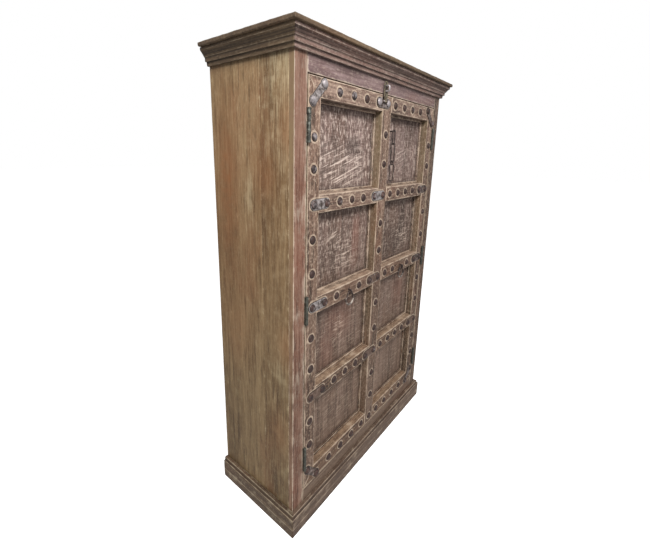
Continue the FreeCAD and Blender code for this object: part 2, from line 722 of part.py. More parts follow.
lintelSpan = ("haspZ + lintelStapleRise", "haspZ + lintelStapleRise + lintelStapleHeight")
node(staple("z", lintelSpan, "haspX", "faceY - lintelStapleReach", "faceY + stapleLegDepth",
            "lintelStapleRodWidth"), "lintel_staple")

# Chain on the right door: a staple in the planks and three links
chainSpan = ("chainX - chainStapleWidth/2", "chainX + chainStapleWidth/2")
node(staple("x", chainSpan, "chainZ", "chainY", "doorFrameBackY + stapleLegDepth", "chainRodWidth"),
     "chain_staple")
upperTop = "chainZ + chainSeat"
middleTop = f"{upperTop} - upperLinkLength + chainSeat"
endTop = f"{middleTop} - middleLinkLength + chainSeat"
upperDepth = ("chainY - upperLinkWidth/2", "chainY + upperLinkWidth/2")
upperLink = rectangle("y", upperDepth, "z", (f"{upperTop} - upperLinkLength", upperTop), "chainX", "chainRodWidth")
node(fuse(upperLink), "chain_link_upper")
middleX = ("chainX - middleLinkWidth/2", "chainX + middleLinkWidth/2")
middleLink = rectangle("x", middleX, "z", (f"{middleTop} - middleLinkLength", middleTop), "chainY", "chainRodWidth")
node(fuse(middleLink), "chain_link_middle")
eyeDepth = ("chainY - endEyeWidth/2", "chainY + endEyeWidth/2")
eyeFoot = f"{endTop} - endEyeLength"
endLink = rectangle("y", eyeDepth, "z", (eyeFoot, endTop), "chainX", "chainRodWidth")
loopFoot = f"{eyeFoot} - endLoopLength + endLoopWidth/2"
loopX = ("chainX - endLoopWidth/2", "chainX + endLoopWidth/2")
endLink += rectangle("x", loopX, "z", (loopFoot, eyeFoot), "chainY", "chainRodWidth", closed=False)
endLink.append(hangingHalfRing(("chainX", "chainY", loopFoot), "endLoopWidth", "chainRodWidth"))
node(fuse(endLink), "chain_link_end")

doc.recompute()
faults = [item.Name for item in doc.Objects if "Invalid" in item.State or "Error" in item.State]
faults += [item.Label for item in nodes if item.Shape.isNull() or not item.Shape.isValid()]
if faults:
    raise RuntimeError(f"failed objects: {faults}")
os.makedirs("parts", exist_ok=True)
for item in nodes:
    item.Shape.exportStep(f"parts/{item.Label}.step")
print(f"{len(nodes)} nodes, {sum(len(item.Shape.Solids) for item in nodes)} solids")
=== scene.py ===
import bpy
import json
import math
import numpy as np
from mathutils import Matrix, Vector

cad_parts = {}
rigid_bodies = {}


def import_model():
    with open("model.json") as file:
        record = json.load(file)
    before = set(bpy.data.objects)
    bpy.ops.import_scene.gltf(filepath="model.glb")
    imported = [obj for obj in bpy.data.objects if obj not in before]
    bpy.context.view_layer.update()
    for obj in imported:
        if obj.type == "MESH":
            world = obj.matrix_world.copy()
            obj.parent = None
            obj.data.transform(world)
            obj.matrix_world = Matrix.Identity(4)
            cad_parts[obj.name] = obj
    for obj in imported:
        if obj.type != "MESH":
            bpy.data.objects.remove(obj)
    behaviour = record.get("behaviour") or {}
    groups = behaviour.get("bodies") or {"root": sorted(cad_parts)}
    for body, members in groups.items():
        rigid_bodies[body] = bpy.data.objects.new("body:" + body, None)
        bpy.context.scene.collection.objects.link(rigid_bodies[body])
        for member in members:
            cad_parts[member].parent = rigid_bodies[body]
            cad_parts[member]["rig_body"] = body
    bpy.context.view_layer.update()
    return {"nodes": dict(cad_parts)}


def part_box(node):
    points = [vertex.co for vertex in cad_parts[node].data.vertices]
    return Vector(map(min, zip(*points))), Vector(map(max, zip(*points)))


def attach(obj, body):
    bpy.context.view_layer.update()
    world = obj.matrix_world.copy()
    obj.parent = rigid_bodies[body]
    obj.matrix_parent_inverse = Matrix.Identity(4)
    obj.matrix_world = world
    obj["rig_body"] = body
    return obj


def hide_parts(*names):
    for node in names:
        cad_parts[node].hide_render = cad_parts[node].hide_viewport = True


for leftover in list(bpy.data.objects):
    bpy.data.objects.remove(leftover)
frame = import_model()
print("frame loaded:", len(frame["nodes"]), "nodes")

sides = ("left", "right")
millimetre = 0.001


def metres(sizes, **others):
    # Settings given in millimetres, beside others that are not lengths
    return dict({name: size*millimetre for name, size in sizes.items()}, **others)


def box(node):
    low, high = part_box(node)
    return np.array(low), np.array(high)


def fade(values, start, end):
    # From 0 at the start to 1 at the end
    return np.clip((values - start)/(end - start), 0, 1)


def bell(gap, reach, power=2):
    # 1 where there is no gap, and next to nothing well beyond the reach
    return np.exp(-(gap/reach)**power)


def unitLong(vectors):
    return vectors/np.linalg.norm(vectors, axis=-1, keepdims=True)


def linked(name, data):
    made = bpy.data.objects.new(name, data)
    bpy.context.scene.collection.objects.link(made)
    return made


# Camera, at the photograph's place
cameraView = {
    "place": (-1.3221, -0.9237, 1.4423),
    "yaw": 50.85,
    "pitch": 13.32,
    "roll": 1.218,
    "focalPixels": 351.77,
    "centrePixels": (319.21, 237.48),
    "imagePixels": (650, 551),
    "sensor": 36,
    "nearest": 0.05,
}


def aim(made, place, right, up, ahead):
    # Stand a camera or a lamp at a place, looking ahead
    turn = Matrix((right, up, -ahead)).transposed().to_4x4()
    made.matrix_world = Matrix.Translation(place) @ turn


def makeCamera(view):
    yaw, pitch, roll = (math.radians(view[key]) for key in ("yaw", "pitch", "roll"))
    ahead = np.array([math.sin(yaw)*math.cos(pitch), math.cos(yaw)*math.cos(pitch), -math.sin(pitch)])
    level = np.array([math.cos(yaw), -math.sin(yaw), 0.0])
    above = np.cross(level, ahead)
    right = math.cos(roll)*level + math.sin(roll)*above
    up = math.cos(roll)*above - math.sin(roll)*level
    width, height = view["imagePixels"]
    data = bpy.data.cameras.new("photoCamera")
    data.sensor_width = view["sensor"]
    data.lens = view["sensor"]*view["focalPixels"]/width
    data.shift_x = (width/2 - view["centrePixels"][0])/width
    data.shift_y = (view["centrePixels"][1] - height/2)/width
    data.clip_start = view["nearest"]
    made = linked("photoCamera", data)
    aim(made, view["place"], right, up, ahead)
    bpy.context.scene.camera = made


makeCamera(cameraView)
print("camera set")


# A socket that takes part in sums, and a tree that nodes are added to
class Wire:
    def __init__(self, graph, socket):
        self.graph = graph
        self.socket = socket

    def __add__(self, other):
        return self.graph.maths("ADD", self, other)

    def __sub__(self, other):
        return self.graph.maths("SUBTRACT", self, other)

    def __rsub__(self, other):
        return self.graph.maths("SUBTRACT", other, self)

    def __mul__(self, other):
        return self.graph.maths("MULTIPLY", self, other)

    __radd__ = __add__
    __rmul__ = __mul__


class Graph:
    def __init__(self, tree):
        self.tree = tree
        tree.nodes.clear()

    def node(self, kind, settings=None, sockets=None, output=0):
        made = self.tree.nodes.new(kind)
        for name, value in (settings or {}).items():
            setattr(made, name, value)
        for name, value in (sockets or {}).items():
            if isinstance(value, Wire):
                self.tree.links.new(value.socket, made.inputs[name])
            else:
                made.inputs[name].default_value = value
        return Wire(self, made.outputs[output]) if made.outputs else made

    def maths(self, operation, first, second):
        return self.node("ShaderNodeMath", {"operation": operation}, {0: first, 1: second})

    def attribute(self, name, output="Fac"):
        return self.node("ShaderNodeAttribute", {"attribute_name": name}, output=output)

    def rise(self, value, low, high):
        settings = {"interpolation_type": "SMOOTHSTEP"}
        return self.node("ShaderNodeMapRange", settings, {"Value": value, "From Min": low, "From Max": high})

    def mix(self, factor, first, second, blend="MIX"):
        settings = {"data_type": "RGBA", "blend_type": blend}
        return self.node("ShaderNodeMix", settings, {0: factor, 6: first, 7: second}, output=2)

    def ramp(self, value, stops):
        made = self.node("ShaderNodeValToRGB", {}, {"Fac": value})
        elements = made.socket.node.color_ramp.elements
        for stop, (position, colour) in zip(elements, stops):
            stop.position = position
            stop.color = colour
        for position, colour in stops[len(elements):]:
            elements.new(position).color = colour
        return made

    def noise(self, place, scale, detail):
        # Marks per metre along each axis
        sockets = {"Vector": place, "Scale": tuple(1/count for count in scale)}
        spot = self.node("ShaderNodeMapping", {"vector_type": "TEXTURE"}, sockets)
        sockets = {"Vector": spot, "Scale": 1, "Detail": detail, "Roughness": 0.6}
        return self.node("ShaderNodeTexNoise", {}, sockets)


def newMaterial(name):
    made = bpy.data.materials.new(name)
    made.use_nodes = True
    return made, Graph(made.node_tree)


def finishSurface(graph, height, strength, distance, sockets):
    bump = graph.node("ShaderNodeBump", {}, {"Strength": strength, "Distance": distance, "Height": height})
    shader = graph.node("ShaderNodeBsdfPrincipled", {}, dict(sockets, Normal=bump))
    graph.node("ShaderNodeOutputMaterial", {}, {"Surface": shader})


def tint(red, green, blue):
    # A colour as it looks on a screen, 0 to 255, made linear
    parts = [value/255 for value in (red, green, blue)]
    return tuple([part/12.92 if part < 0.04045 else ((part + 0.055)/1.055)**2.4 for part in parts] + [1])


def tinted(look):
    return {name: tint(*value) if isinstance(value, tuple) else value for name, value in look.items()}


def slopedPlaces(graph, place, degrees):
    # The same places on axes turned about y, so that x runs up the slope
    x, y, z = [graph.node("ShaderNodeSeparateXYZ", {}, {0: place}, output=axis) for axis in "XYZ"]
    along, up = math.cos(math.radians(degrees)), math.sin(math.radians(degrees))
    return graph.node("ShaderNodeCombineXYZ", {}, {"X": x*along + z*up, "Y": y, "Z": z*along - x*up})


# Old timber with limewash left in its pores and along its arrises
def limedTimber(name, look):
    made, graph = newMaterial(name)
    dark, light, lime = look["dark"], look["light"], look["lime"]
    place = graph.node("ShaderNodeTexCoord", output="Object")
    low = graph.rise(graph.node("ShaderNodeSeparateXYZ", {}, {0: place}, output="Z"), 1.75, 0.2)
    shift = graph.attribute("shift", "Vector")
    spot = graph.node("ShaderNodeVectorMath", {"operation": "ADD"}, {0: place, 1: shift})

    def grained(along, across, detail):
        scale = [along if axis == look["grain"] else across for axis in "xyz"]
        return graph.noise(spot, scale, detail)

    def marked(colour, marks, paleEdge, darkEdge, amount, pale):
        # Pale marks where the noise is high and dark ones where it is low
        colour = graph.mix(graph.rise(marks, *paleEdge)*amount, colour, pale)
        return graph.mix(graph.rise(marks, *darkEdge)*amount, colour, dark)

    broad = grained(1.6, 11, 3)
    grain = grained(5, 120, 6)
    fine = grained(14, 620, 3)
    cloud = grained(26, 26, 5)
    specks = grained(420, 420, 2)
    wash = graph.attribute("wash")
    tone = broad*0.45 + grain*0.55 + graph.attribute("tone")*0.16
    colour = graph.ramp(tone, [(0.36, dark), (0.5, look["mid"]), (0.66, light)])
    rusty = graph.rise(grained(2.4, 5, 3), 0.5, 0.68)
    colour = graph.mix(rusty*look["rustAmount"], colour, look["rust"])
    colour = graph.mix(graph.rise(fine, 0.46, 0.34)*0.6, colour, dark)
    colour = marked(colour, grained(8, 80, 3), (0.54, 0.68), (0.46, 0.34), look["streakAmount"], light)
    colour = marked(colour, grained(85, 130, 3), (0.52, 0.7), (0.47, 0.33), look["mottleAmount"], lime)
    limed = graph.rise(fine*0.6 + cloud*0.4 + wash*0.16, look["limeStart"], look["limeStart"] + 0.14)
    colour = graph.mix(limed*look["limeAmount"], colour, lime)
    colour = marked(colour, specks, (0.6, 0.7), (0.42, 0.32), look["speckAmount"], lime)
    height = grain*0.6 + fine*0.5 + cloud*0.5 + specks*0.3
    if look["scratchAmount"]:
        # Level saw marks, upright flecks and slanting scratches
        sawn = graph.noise(spot, (20, 20, 180), 2)
        colour = marked(colour, sawn, (0.53, 0.65), (0.47, 0.35), wash*1.3 + 0.22, lime)
        flecks = graph.noise(spot, (120, 120, 40), 2)
        showing = graph.rise(low, 0.85, 0.1)*0.62*(1 - graph.attribute("hidden")*0.7)
        colour = graph.mix(graph.rise(flecks, 0.52, 0.64)*showing, colour, lime)
        colour = graph.mix(graph.rise(flecks, 0.47, 0.35)*showing*0.8, colour, dark)
        rising = graph.noise(slopedPlaces(graph, place, 17), (8, 20, 150), 2)
        where = graph.rise(cloud*0.35 + graph.attribute("scratch")*0.85, 0.4, 0.8)*look["scratchAmount"]
        lines = graph.rise(rising, 0.55, 0.66)*where
        colour = graph.mix(graph.rise(rising, 0.46, 0.38)*where, colour, dark)
        colour = graph.mix(graph.rise(lines + where*0.25, 0, 1), colour, lime)
        height = height + flecks*0.6 - lines*0.7
    # Darker and warmer towards the foot: partly painted shade, as if the light fell from above, and partly
    # the timber's own warmer colour low down
    colour = graph.mix(low*look["footAmount"], colour, look["foot"], "MULTIPLY")
    worn = graph.rise(graph.attribute("wear") + (cloud - 0.5)*1.9 + (specks - 0.5)*0.5, 0.42, 1.0)
    colour = graph.mix(worn*look["wearAmount"], colour, lime)
    ringed = graph.attribute("halo")*(cloud*1.2 + 0.3)
    colour = graph.mix(graph.rise(ringed, 0.15, 0.95)*0.8, colour, lime)
    stained = graph.attribute("stain")*(cloud*0.9 + 0.05)*(1 - low*0.75)
    colour = graph.mix(stained, colour, look.get("stain", look["mid"]))
    # Painted shade in creases, recesses and under overhangs darkens the colour, along with real dirt stains
    # and dark joints on the planks
    colour = graph.mix(graph.attribute("shade")*0.8, colour, look["grime"])
    sockets = {"Base Color": colour, "Roughness": 0.6 + cloud*0.22 + limed*0.1, "Specular IOR Level": 0.32}
    finishSurface(graph, height, look["bump"], 1.3*millimetre, sockets)
    return made


def forgedIron(name, look):
    made, graph = newMaterial(name)
    place = graph.node("ShaderNodeTexCoord", output="Object")
    cloud = graph.noise(place, (70, 70, 70), 5)
    pits = graph.noise(place, (420, 420, 420), 3)
    bare = graph.attribute("bare")
    rubbed = graph.attribute("wear")*0.7 + graph.attribute("tone")*0.3 + bare*0.55
    worn = graph.rise(rubbed + (cloud - 0.5)*1.9, 0.25, 0.95)*look["wearAmount"]
    colour = graph.mix(graph.rise(cloud, 0.42, 0.62), look["dark"], look["rust"])
    colour = graph.mix(graph.rise(bare, -0.2, -0.6)*0.65, colour, look.get("aged", look["rust"]))
    colour = graph.mix(worn, colour, look["rubbed"])
    colour = graph.mix(graph.rise(pits, 0.46, 0.34)*0.6, colour, look["dark"])
    # Painted shade: dark outlines round plate rims, the hidden backs of plates and the feet of studs
    colour = graph.mix(graph.attribute("shade")*0.85, colour, look["dark"])
    sockets = {"Base Color": colour, "Metallic": 0.15 + worn*0.45, "Roughness": 0.6 - worn*0.2 + pits*0.1}
    finishSurface(graph, cloud*0.7 + pits*0.5, 0.7, 0.9*millimetre, sockets)
    return made


# Each timber's look differs from this one where it says so
timberBase = dict(
    grime=(38, 29, 24), foot=(196, 190, 178), streakAmount=0.45, mottleAmount=0.2, rustAmount=0.4,
    limeStart=0.55, limeAmount=0.35, speckAmount=0.12, wearAmount=0.6, footAmount=0.6, scratchAmount=0,
    bump=0.6)
timberLooks = {
    "sideTimber": dict(
        grain="z", dark=(78, 59, 37), mid=(115, 92, 63), light=(142, 119, 87), rust=(120, 78, 50),
        lime=(176, 160, 128), stain=(122, 80, 48), streakAmount=0.68, mottleAmount=0.15, limeStart=0.53,
        limeAmount=0.55, speckAmount=0.1, wearAmount=0.7),
    "faceStileTimber": dict(
        grain="z", dark=(56, 33, 24), mid=(100, 65, 50), light=(138, 104, 88), rust=(110, 53, 35),
        lime=(190, 174, 156), stain=(130, 107, 77), foot=(232, 255, 250), streakAmount=0.6,
        mottleAmount=0.12, rustAmount=0.85, limeStart=0.56, limeAmount=0.4, speckAmount=0.2, wearAmount=0.65,
        footAmount=0.35, bump=0.7),
    "faceRailTimber": dict(
        grain="x", dark=(82, 64, 63), mid=(117, 96, 94), light=(143, 123, 120), rust=(112, 78, 66),
        lime=(190, 174, 156), streakAmount=0.5, mottleAmount=0.25, limeStart=0.54),
    "doorStileTimber": dict(
        grain="z", dark=(37, 26, 19), mid=(96, 71, 58), light=(140, 115, 100), rust=(124, 78, 54),
        lime=(186, 166, 146), stain=(106, 93, 68), streakAmount=0.65, mottleAmount=0.55, rustAmount=0.5,
        limeStart=0.52, limeAmount=0.45, speckAmount=0.45, wearAmount=0.65, bump=1.0),
    "doorRailTimber": dict(
        grain="x", dark=(44, 32, 27), mid=(102, 79, 68), light=(140, 118, 105), rust=(122, 82, 60),
        lime=(190, 170, 150), foot=(206, 190, 164), streakAmount=0.65, mottleAmount=0.45, rustAmount=0.25,
        limeStart=0.52, limeAmount=0.45, speckAmount=0.4, wearAmount=0.65, footAmount=0.8, bump=0.9),
    "panelTimber": dict(
        grain="z", dark=(58, 43, 37), mid=(102, 82, 75), light=(130, 109, 103), rust=(108, 82, 69),
        lime=(196, 178, 167), grime=(40, 31, 27), stain=(124, 80, 66), foot=(225, 213, 150),
        streakAmount=0.55, limeAmount=0.4, speckAmount=0.25, wearAmount=0.35, footAmount=0.4,
        scratchAmount=0.65, bump=1.0),
    "corniceTimber": dict(
        grain="x", dark=(50, 37, 32), mid=(102, 80, 72), light=(136, 115, 107), rust=(106, 70, 56),
        lime=(188, 170, 156), grime=(30, 23, 19), streakAmount=0.5, mottleAmount=0.25, speckAmount=0.15,
        wearAmount=0.55, footAmount=0.4),
    "corniceSideTimber": dict(
        grain="y", dark=(48, 36, 25), mid=(76, 60, 44), light=(100, 82, 62), rust=(86, 58, 40),
        lime=(146, 130, 108), grime=(26, 20, 16), streakAmount=0.4, limeStart=0.56, footAmount=0),
    "plinthTimber": dict(
        grain="x", dark=(58, 43, 34), mid=(90, 71, 58), light=(116, 96, 81), rust=(98, 66, 48),
        lime=(168, 150, 130), grime=(30, 23, 19), speckAmount=0.15, footAmount=0.2),
    "plinthSideTimber": dict(
        grain="y", dark=(52, 38, 27), mid=(80, 61, 44), light=(102, 82, 62), rust=(102, 70, 48),
        lime=(170, 156, 132), grime=(30, 23, 19), wearAmount=0.55, footAmount=0.2),
    "insideTimber": dict(
        grain="x", dark=(90, 70, 48), mid=(124, 100, 73), light=(150, 128, 98), rust=(120, 84, 56),
        lime=(180, 164, 138), streakAmount=0.35, mottleAmount=0.1, rustAmount=0.3, limeStart=0.58,
        limeAmount=0.2, speckAmount=0.1, wearAmount=0.3, footAmount=0.3, bump=0.5),
    "backTimber": dict(
        grain="z", dark=(86, 67, 47), mid=(118, 96, 71), light=(146, 124, 95), rust=(116, 82, 56),
        lime=(176, 160, 134), streakAmount=0.4, mottleAmount=0.1, rustAmount=0.35, limeStart=0.56,
        limeAmount=0.25, wearAmount=0.4, footAmount=0.4),
}
timberLooks["capTimber"] = dict(timberLooks["corniceSideTimber"], grain="x")
finishes = {name: limedTimber(name, tinted(dict(timberBase, **look))) for name, look in timberLooks.items()}
ironLooks = {
    "studIron": dict(
        dark=(30, 18, 15), rust=(68, 43, 34), aged=(44, 25, 18), rubbed=(178, 171, 172), wearAmount=0.6),
    "plateIron": dict(
        dark=(48, 37, 31), rust=(102, 84, 75), aged=(100, 76, 61), rubbed=(190, 184, 184), wearAmount=0.68),
    "barIron": dict(dark=(28, 19, 16), rust=(52, 36, 30), rubbed=(170, 158, 150), wearAmount=0.5),
    "ringIron": dict(dark=(32, 23, 19), rust=(70, 52, 44), rubbed=(184, 173, 162), wearAmount=0.85),
    "hingeIron": dict(dark=(36, 36, 30), rust=(64, 63, 54), rubbed=(142, 147, 139), wearAmount=0.75),
    "haspIron": dict(dark=(60, 51, 40), rust=(104, 93, 70), rubbed=(170, 160, 138), wearAmount=0.7),
}
finishes.update({name: forgedIron(name, tinted(look)) for name, look in ironLooks.items()})
print("materials made:", len(finishes))


# Smooth noise between -1 and 1 for moving points
def latticeNoise(points, seed):
    cell = np.floor(points).astype(np.int64)
    part = points - cell
    ease = part*part*(3 - 2*part)
    total = np.zeros(len(points))
    for corner in range(8):
        step = np.array([corner & 1, corner >> 1 & 1, corner >> 2 & 1])
        at = cell + step
        mixed = (at[:, 0]*73856093) ^ (at[:, 1]*19349663) ^ (at[:, 2]*83492791) ^ (seed*2654435761)
        mixed = (mixed ^ (mixed >> 13))*1274126177 & 0xffffffff
        mixed = mixed ^ (mixed >> 16)
        level = (mixed & 0xffff)/32767.5 - 1
        weight = np.prod(np.where(step == 1, ease, 1 - ease), axis=1)
        total += level*weight
    return total


def layeredNoise(points, scale, seed):
    # Three layers, each twice as fine and half as strong as the one before
    total = np.zeros(len(points))
    for layer in range(3):
        total += latticeNoise(points*np.array(scale)*2**layer + 17.3*layer, seed + layer)/2**layer
    return total/2


def gridQuads(index):
    # The four corners of each cell in a grid of point numbers
    corners = [index[:-1, :-1], index[1:, :-1], index[1:, 1:], index[:-1, 1:]]
    return np.stack(corners, -1).reshape(-1, 4)


def wrapped(index, axis):
    # The grid with its first line once more at the end
    return np.concatenate([index, np.take(index, [0], axis)], axis)


# A board as a fine grid whose arrises are worn round and whose faces are not quite flat
def gridLines(low, high, step, radius):
    count = max(2, int(round((high - low - 2*radius)/step)) + 1)
    ends = radius*np.array([0, 0.3, 0.65])
    return np.concatenate([low + ends, np.linspace(low + radius, high - radius, count), high - ends[::-1]])


def boxShell(lines):
    counts = [len(line) for line in lines]
    mask = np.ones(counts, bool)
    mask[1:-1, 1:-1, 1:-1] = False
    index = np.full(counts, -1)
    index[mask] = np.arange(mask.sum())
    points = np.stack(np.meshgrid(*lines, indexing="ij"), -1)[mask]
    faces = []
    for axis in range(3):
        for end in (0, -1):
            sheet = np.take(index, end, axis)
            quads = gridQuads(sheet.T if axis == 1 else sheet)
            faces.append(quads if end else quads[:, ::-1])
    return points, np.concatenate(faces)


def timberFields(points, wear, rng):
    # What a timber's material reads at each point
    names = ("halo", "shade", "scratch", "wash", "stain", "tone")
    fields = {name: np.zeros(len(points)) for name in names}
    fields["wear"] = wear
    fields["shift"] = np.tile(rng.uniform(-3, 3, 3), (len(points), 1))
    return fields


def board(low, high, shape, seed):
    low, high = np.array(low, float), np.array(high, float)
    axis = "xyz".index(shape["grain"])
    radius = shape["radius"]
    steps = [shape["along"] if index == axis else shape["across"] for index in range(3)]
    lines = [gridLines(start, end, step, radius) for start, end, step in zip(low, high, steps)]
    points, faces = boxShell(lines)
    edge = np.sort(np.minimum(points - low, high - points), axis=1)[:, 1]
    swell = layeredNoise(points, 38, seed)
    worn = radius*np.clip(0.62 + 0.75*swell, 0.2, 1)[:, None]
    inner = np.clip(points, low + worn, high - worn)
    normal = unitLong(points - inner)
    points = inner + normal*worn
    rough = layeredNoise(points, [7 if index == axis else 30 for index in range(3)], seed + 5)
    dents = np.clip(layeredNoise(points, 60, seed + 9) - 0.42, 0, 1)
    sink = shape["relief"]*(0.5 + 0.5*rough) + shape["dent"]*dents
    if "flush" in shape:
        sink = sink*(1 - abs(normal[:, shape["flush"]]))
    points = points - normal*sink[:, None]
    rng = np.random.default_rng(seed)
    tone = rng.uniform(-0.5, 0.5)
    fields = timberFields(points, bell(edge, shape["wearWidth"]), rng)
    fields["tone"] += tone
    return points, faces, fields, normal


def boards(places, shape, seed):
    return [board(low, high, shape, seed + number) for number, (low, high) in enumerate(places)]


def joined(parts):
    points, faces, fields = [], [], {}
    start = 0
    for part in parts:
        points.append(part[0])
        faces += [[corner + start for corner in face] for face in part[1]]
        for name, values in part[2].items():
            fields.setdefault(name, []).append(values)
        start += len(part[0])
    return np.concatenate(points), faces, {name: np.concatenate(values) for name, values in fields.items()}


def meshObject(name, points, faces, fields, material):
    mesh = bpy.data.meshes.new(name)
    mesh.from_pydata(points.tolist(), [], [list(face) for face in faces])
    mesh.polygons.foreach_set("use_smooth", np.ones(len(mesh.polygons), bool))
    for field, values in fields.items():
        isVector = values.ndim == 2
        layer = mesh.attributes.new(field, "FLOAT_VECTOR" if isVector else "FLOAT", "POINT")
        layer.data.foreach_set("vector" if isVector else "value", values.astype(np.float32).ravel())
    mesh.materials.append(material)
    return linked(name, mesh)


def piece(node, parts, finish):
    # The parts as one object, in the place of its node
    words = node.split("_")
    name = words[0] + "".join(word.capitalize() for word in words[1:])
    made = meshObject(name, *joined(parts), finishes[finish])
    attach(made, frame["nodes"][node]["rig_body"])
    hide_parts(node)


def islands(node):
    # The separate solids of a node, as the lowest and highest corner of each
    mesh = frame["nodes"][node].data
    flat = np.zeros(len(mesh.vertices)*3, np.float32)
    mesh.vertices.foreach_get("co", flat)
    spots, merged = np.unique(flat.reshape(-1, 3).round(5), axis=0, return_inverse=True)
    edges = np.zeros(len(mesh.edges)*2, np.int32)
    mesh.edges.foreach_get("vertices", edges)
    edges = merged.ravel()[edges].reshape(-1, 2)
    label = np.arange(len(spots))
    while True:
        lowest = np.minimum(label[edges[:, 0]], label[edges[:, 1]])
        before = label.copy()
        np.minimum.at(label, edges[:, 0], lowest)
        np.minimum.at(label, edges[:, 1], lowest)
        label = label[label]
        if (label == before).all():
            break
    return [(spots[label == key].min(0), spots[label == key].max(0)) for key in np.unique(label)]


def boardsAcross(node, axis):
    # The boards of a node that lie edge to edge, split where their edges are
    mesh = frame["nodes"][node].data
    edges = np.unique([round(vertex.co[axis], 4) for vertex in mesh.vertices])
    places = []
    for start, end in zip(edges[:-1], edges[1:]):
        low, high = box(node)
        low[axis], high[axis] = start, end
        places.append((low, high))
    return places


# Where the ironwork sits on each door, and the pale rings that it leaves on the wood
haloShape = metres({"studRadius": 17.5, "plateGap": 2, "spread": 3.5})
studPlaces = {}
platePlaces = {}
for side in sides:
    spans = islands(side + "_studs")
    studPlaces[side] = [((low[0] + high[0])/2, low[1], (low[2] + high[2])/2) for low, high in spans]
    platePlaces[side] = islands(side + "_straps")
haspPlateBox = max(islands("hasp_plate"), key=lambda pair: pair[1][0] - pair[0][0])
platePlaces["left"].append(haspPlateBox)
print("studs:", {side: len(places) for side, places in studPlaces.items()})


def isLevel(low, high):
    # A level strap is longer than it is high, and a slanting brace fills a box that is nearly square
    return abs((high - low)[0] - (high - low)[2]) > 20*millimetre


def ringsAround(points, side, facing):
    flat = points[:, [0, 2]]
    spots = np.array(studPlaces[side])[:, [0, 2]]
    gap = np.sqrt(((flat[:, None] - spots[None])**2).sum(-1)).min(1)
    field = bell(gap - haloShape["studRadius"], haloShape["spread"])
    for low, high in platePlaces[side]:
        if isLevel(low, high):
            wide, tall = (high - low)[[0, 2]]
            middle = (low + high)/2
            beyond = np.maximum(abs(flat[:, 0] - middle[0]) - (wide - tall)/2, 0)
            gap = np.hypot(beyond, flat[:, 1] - middle[2]) - tall/2
            field = np.maximum(field, bell(gap - haloShape["plateGap"], haloShape["spread"]))
    return field*facing


def patched(points, patches, axis=0, power=2):
    # Patches given by their place across and up, half width, half height and amount
    field = np.zeros(len(points))
    for across, up, wide, tall, amount in patches:
        patch = bell(points[:, axis] - across, wide, power)*bell(points[:, 2] - up, tall, power)
        field = np.maximum(field, amount*patch)
    return field


corniceFoot = box("cornice_front")[0][2]


def underCornice(z, reach):
    # Painted shade close under the cornice
    return bell((corniceFoot - z).clip(0), reach)


# Side panels, each of three upright boards from the front to the back
sideShape = metres(
    {"along": 9, "across": 6, "radius": 2, "relief": 0.7, "dent": 1.2, "wearWidth": 5, "grimeReach": 20},
    grain="z", flush=1, wear=(0.6, 0.25, 0.25), tones=(-0.3, 0.6, 0.1), shifts=(1.9, 5.1), bandHeight=1.1,
    bandReach=0.4, washDepths=(-0.03, -0.16), washHeights=(1.25, 1.7))
sideStains = [(0.15, 1.33, 0.06, 0.33, 1.3), (-0.15, 1.52, 0.03, 0.1, 1.1), (-0.06, 1.37, 0.05, 0.08, 0.9),
              (0.12, 0.75, 0.08, 0.15, 1.2), (-0.15, 0.77, 0.04, 0.08, 1.6), (-0.11, 0.41, 0.06, 0.1, 2.4)]
sideWashes = [(0.03, 1.3, 0.02, 0.07, 1.2), (-0.12, 0.67, 0.03, 0.05, 0.6)]
for order, side in enumerate(sides):
    parts = boards(boardsAcross(side + "_side_panel", 1), sideShape, 100 + 10*order)
    for number, (points, faces, fields, normal) in enumerate(parts):
        y, z = points[:, [1, 2]].T
        fields["wear"] *= sideShape["wear"][number]
        fields["tone"][:] = sideShape["tones"][number]
        fields["shift"][:] = (0.3, 0.7, sideShape["shifts"][order])
        band = bell(z - sideShape["bandHeight"], sideShape["bandReach"], 4)
        fields["stain"] = 0.4*band + patched(points, sideStains, 1)
        # More limewash near the front arris and towards the top; the paler top is partly painted light from
        # above
        washedAndLit = fade(y, *sideShape["washDepths"])*(0.35 + 0.65*fade(z, *sideShape["washHeights"]))
        fields["wash"] = washedAndLit + patched(points, sideWashes, 1)
        # Painted shade under the cornice
        fields["shade"] = 0.35*underCornice(z, sideShape["grimeReach"])
    piece(side + "_side_panel", parts, "sideTimber")
print("side panels made")

# Back boards and the inside
backShape = metres({"along": 18, "across": 10, "radius": 1.6, "relief": 0.8, "dent": 1.0, "wearWidth": 4},
                   grain="z", flush=0)
insideShape = metres({"along": 16, "across": 9, "radius": 1.8, "relief": 0.7, "dent": 1.0, "wearWidth": 4},
                     grain="x")
insideNodes = ["bottom_board", "top_board", "lower_shelf", "middle_shelf", "upper_shelf", "door_stop"]
backParts = boards(boardsAcross("back_boards", 0), backShape, 130)
piece("back_boards", backParts, "backTimber")
for number, node in enumerate(insideNodes):
    piece(node, [board(*box(node), insideShape, 150 + number)], "insideTimber")
cleatParts = boards(islands("shelf_cleats"), dict(insideShape, grain="y"), 160)
piece("shelf_cleats", cleatParts, "insideTimber")
print("back and inside made")

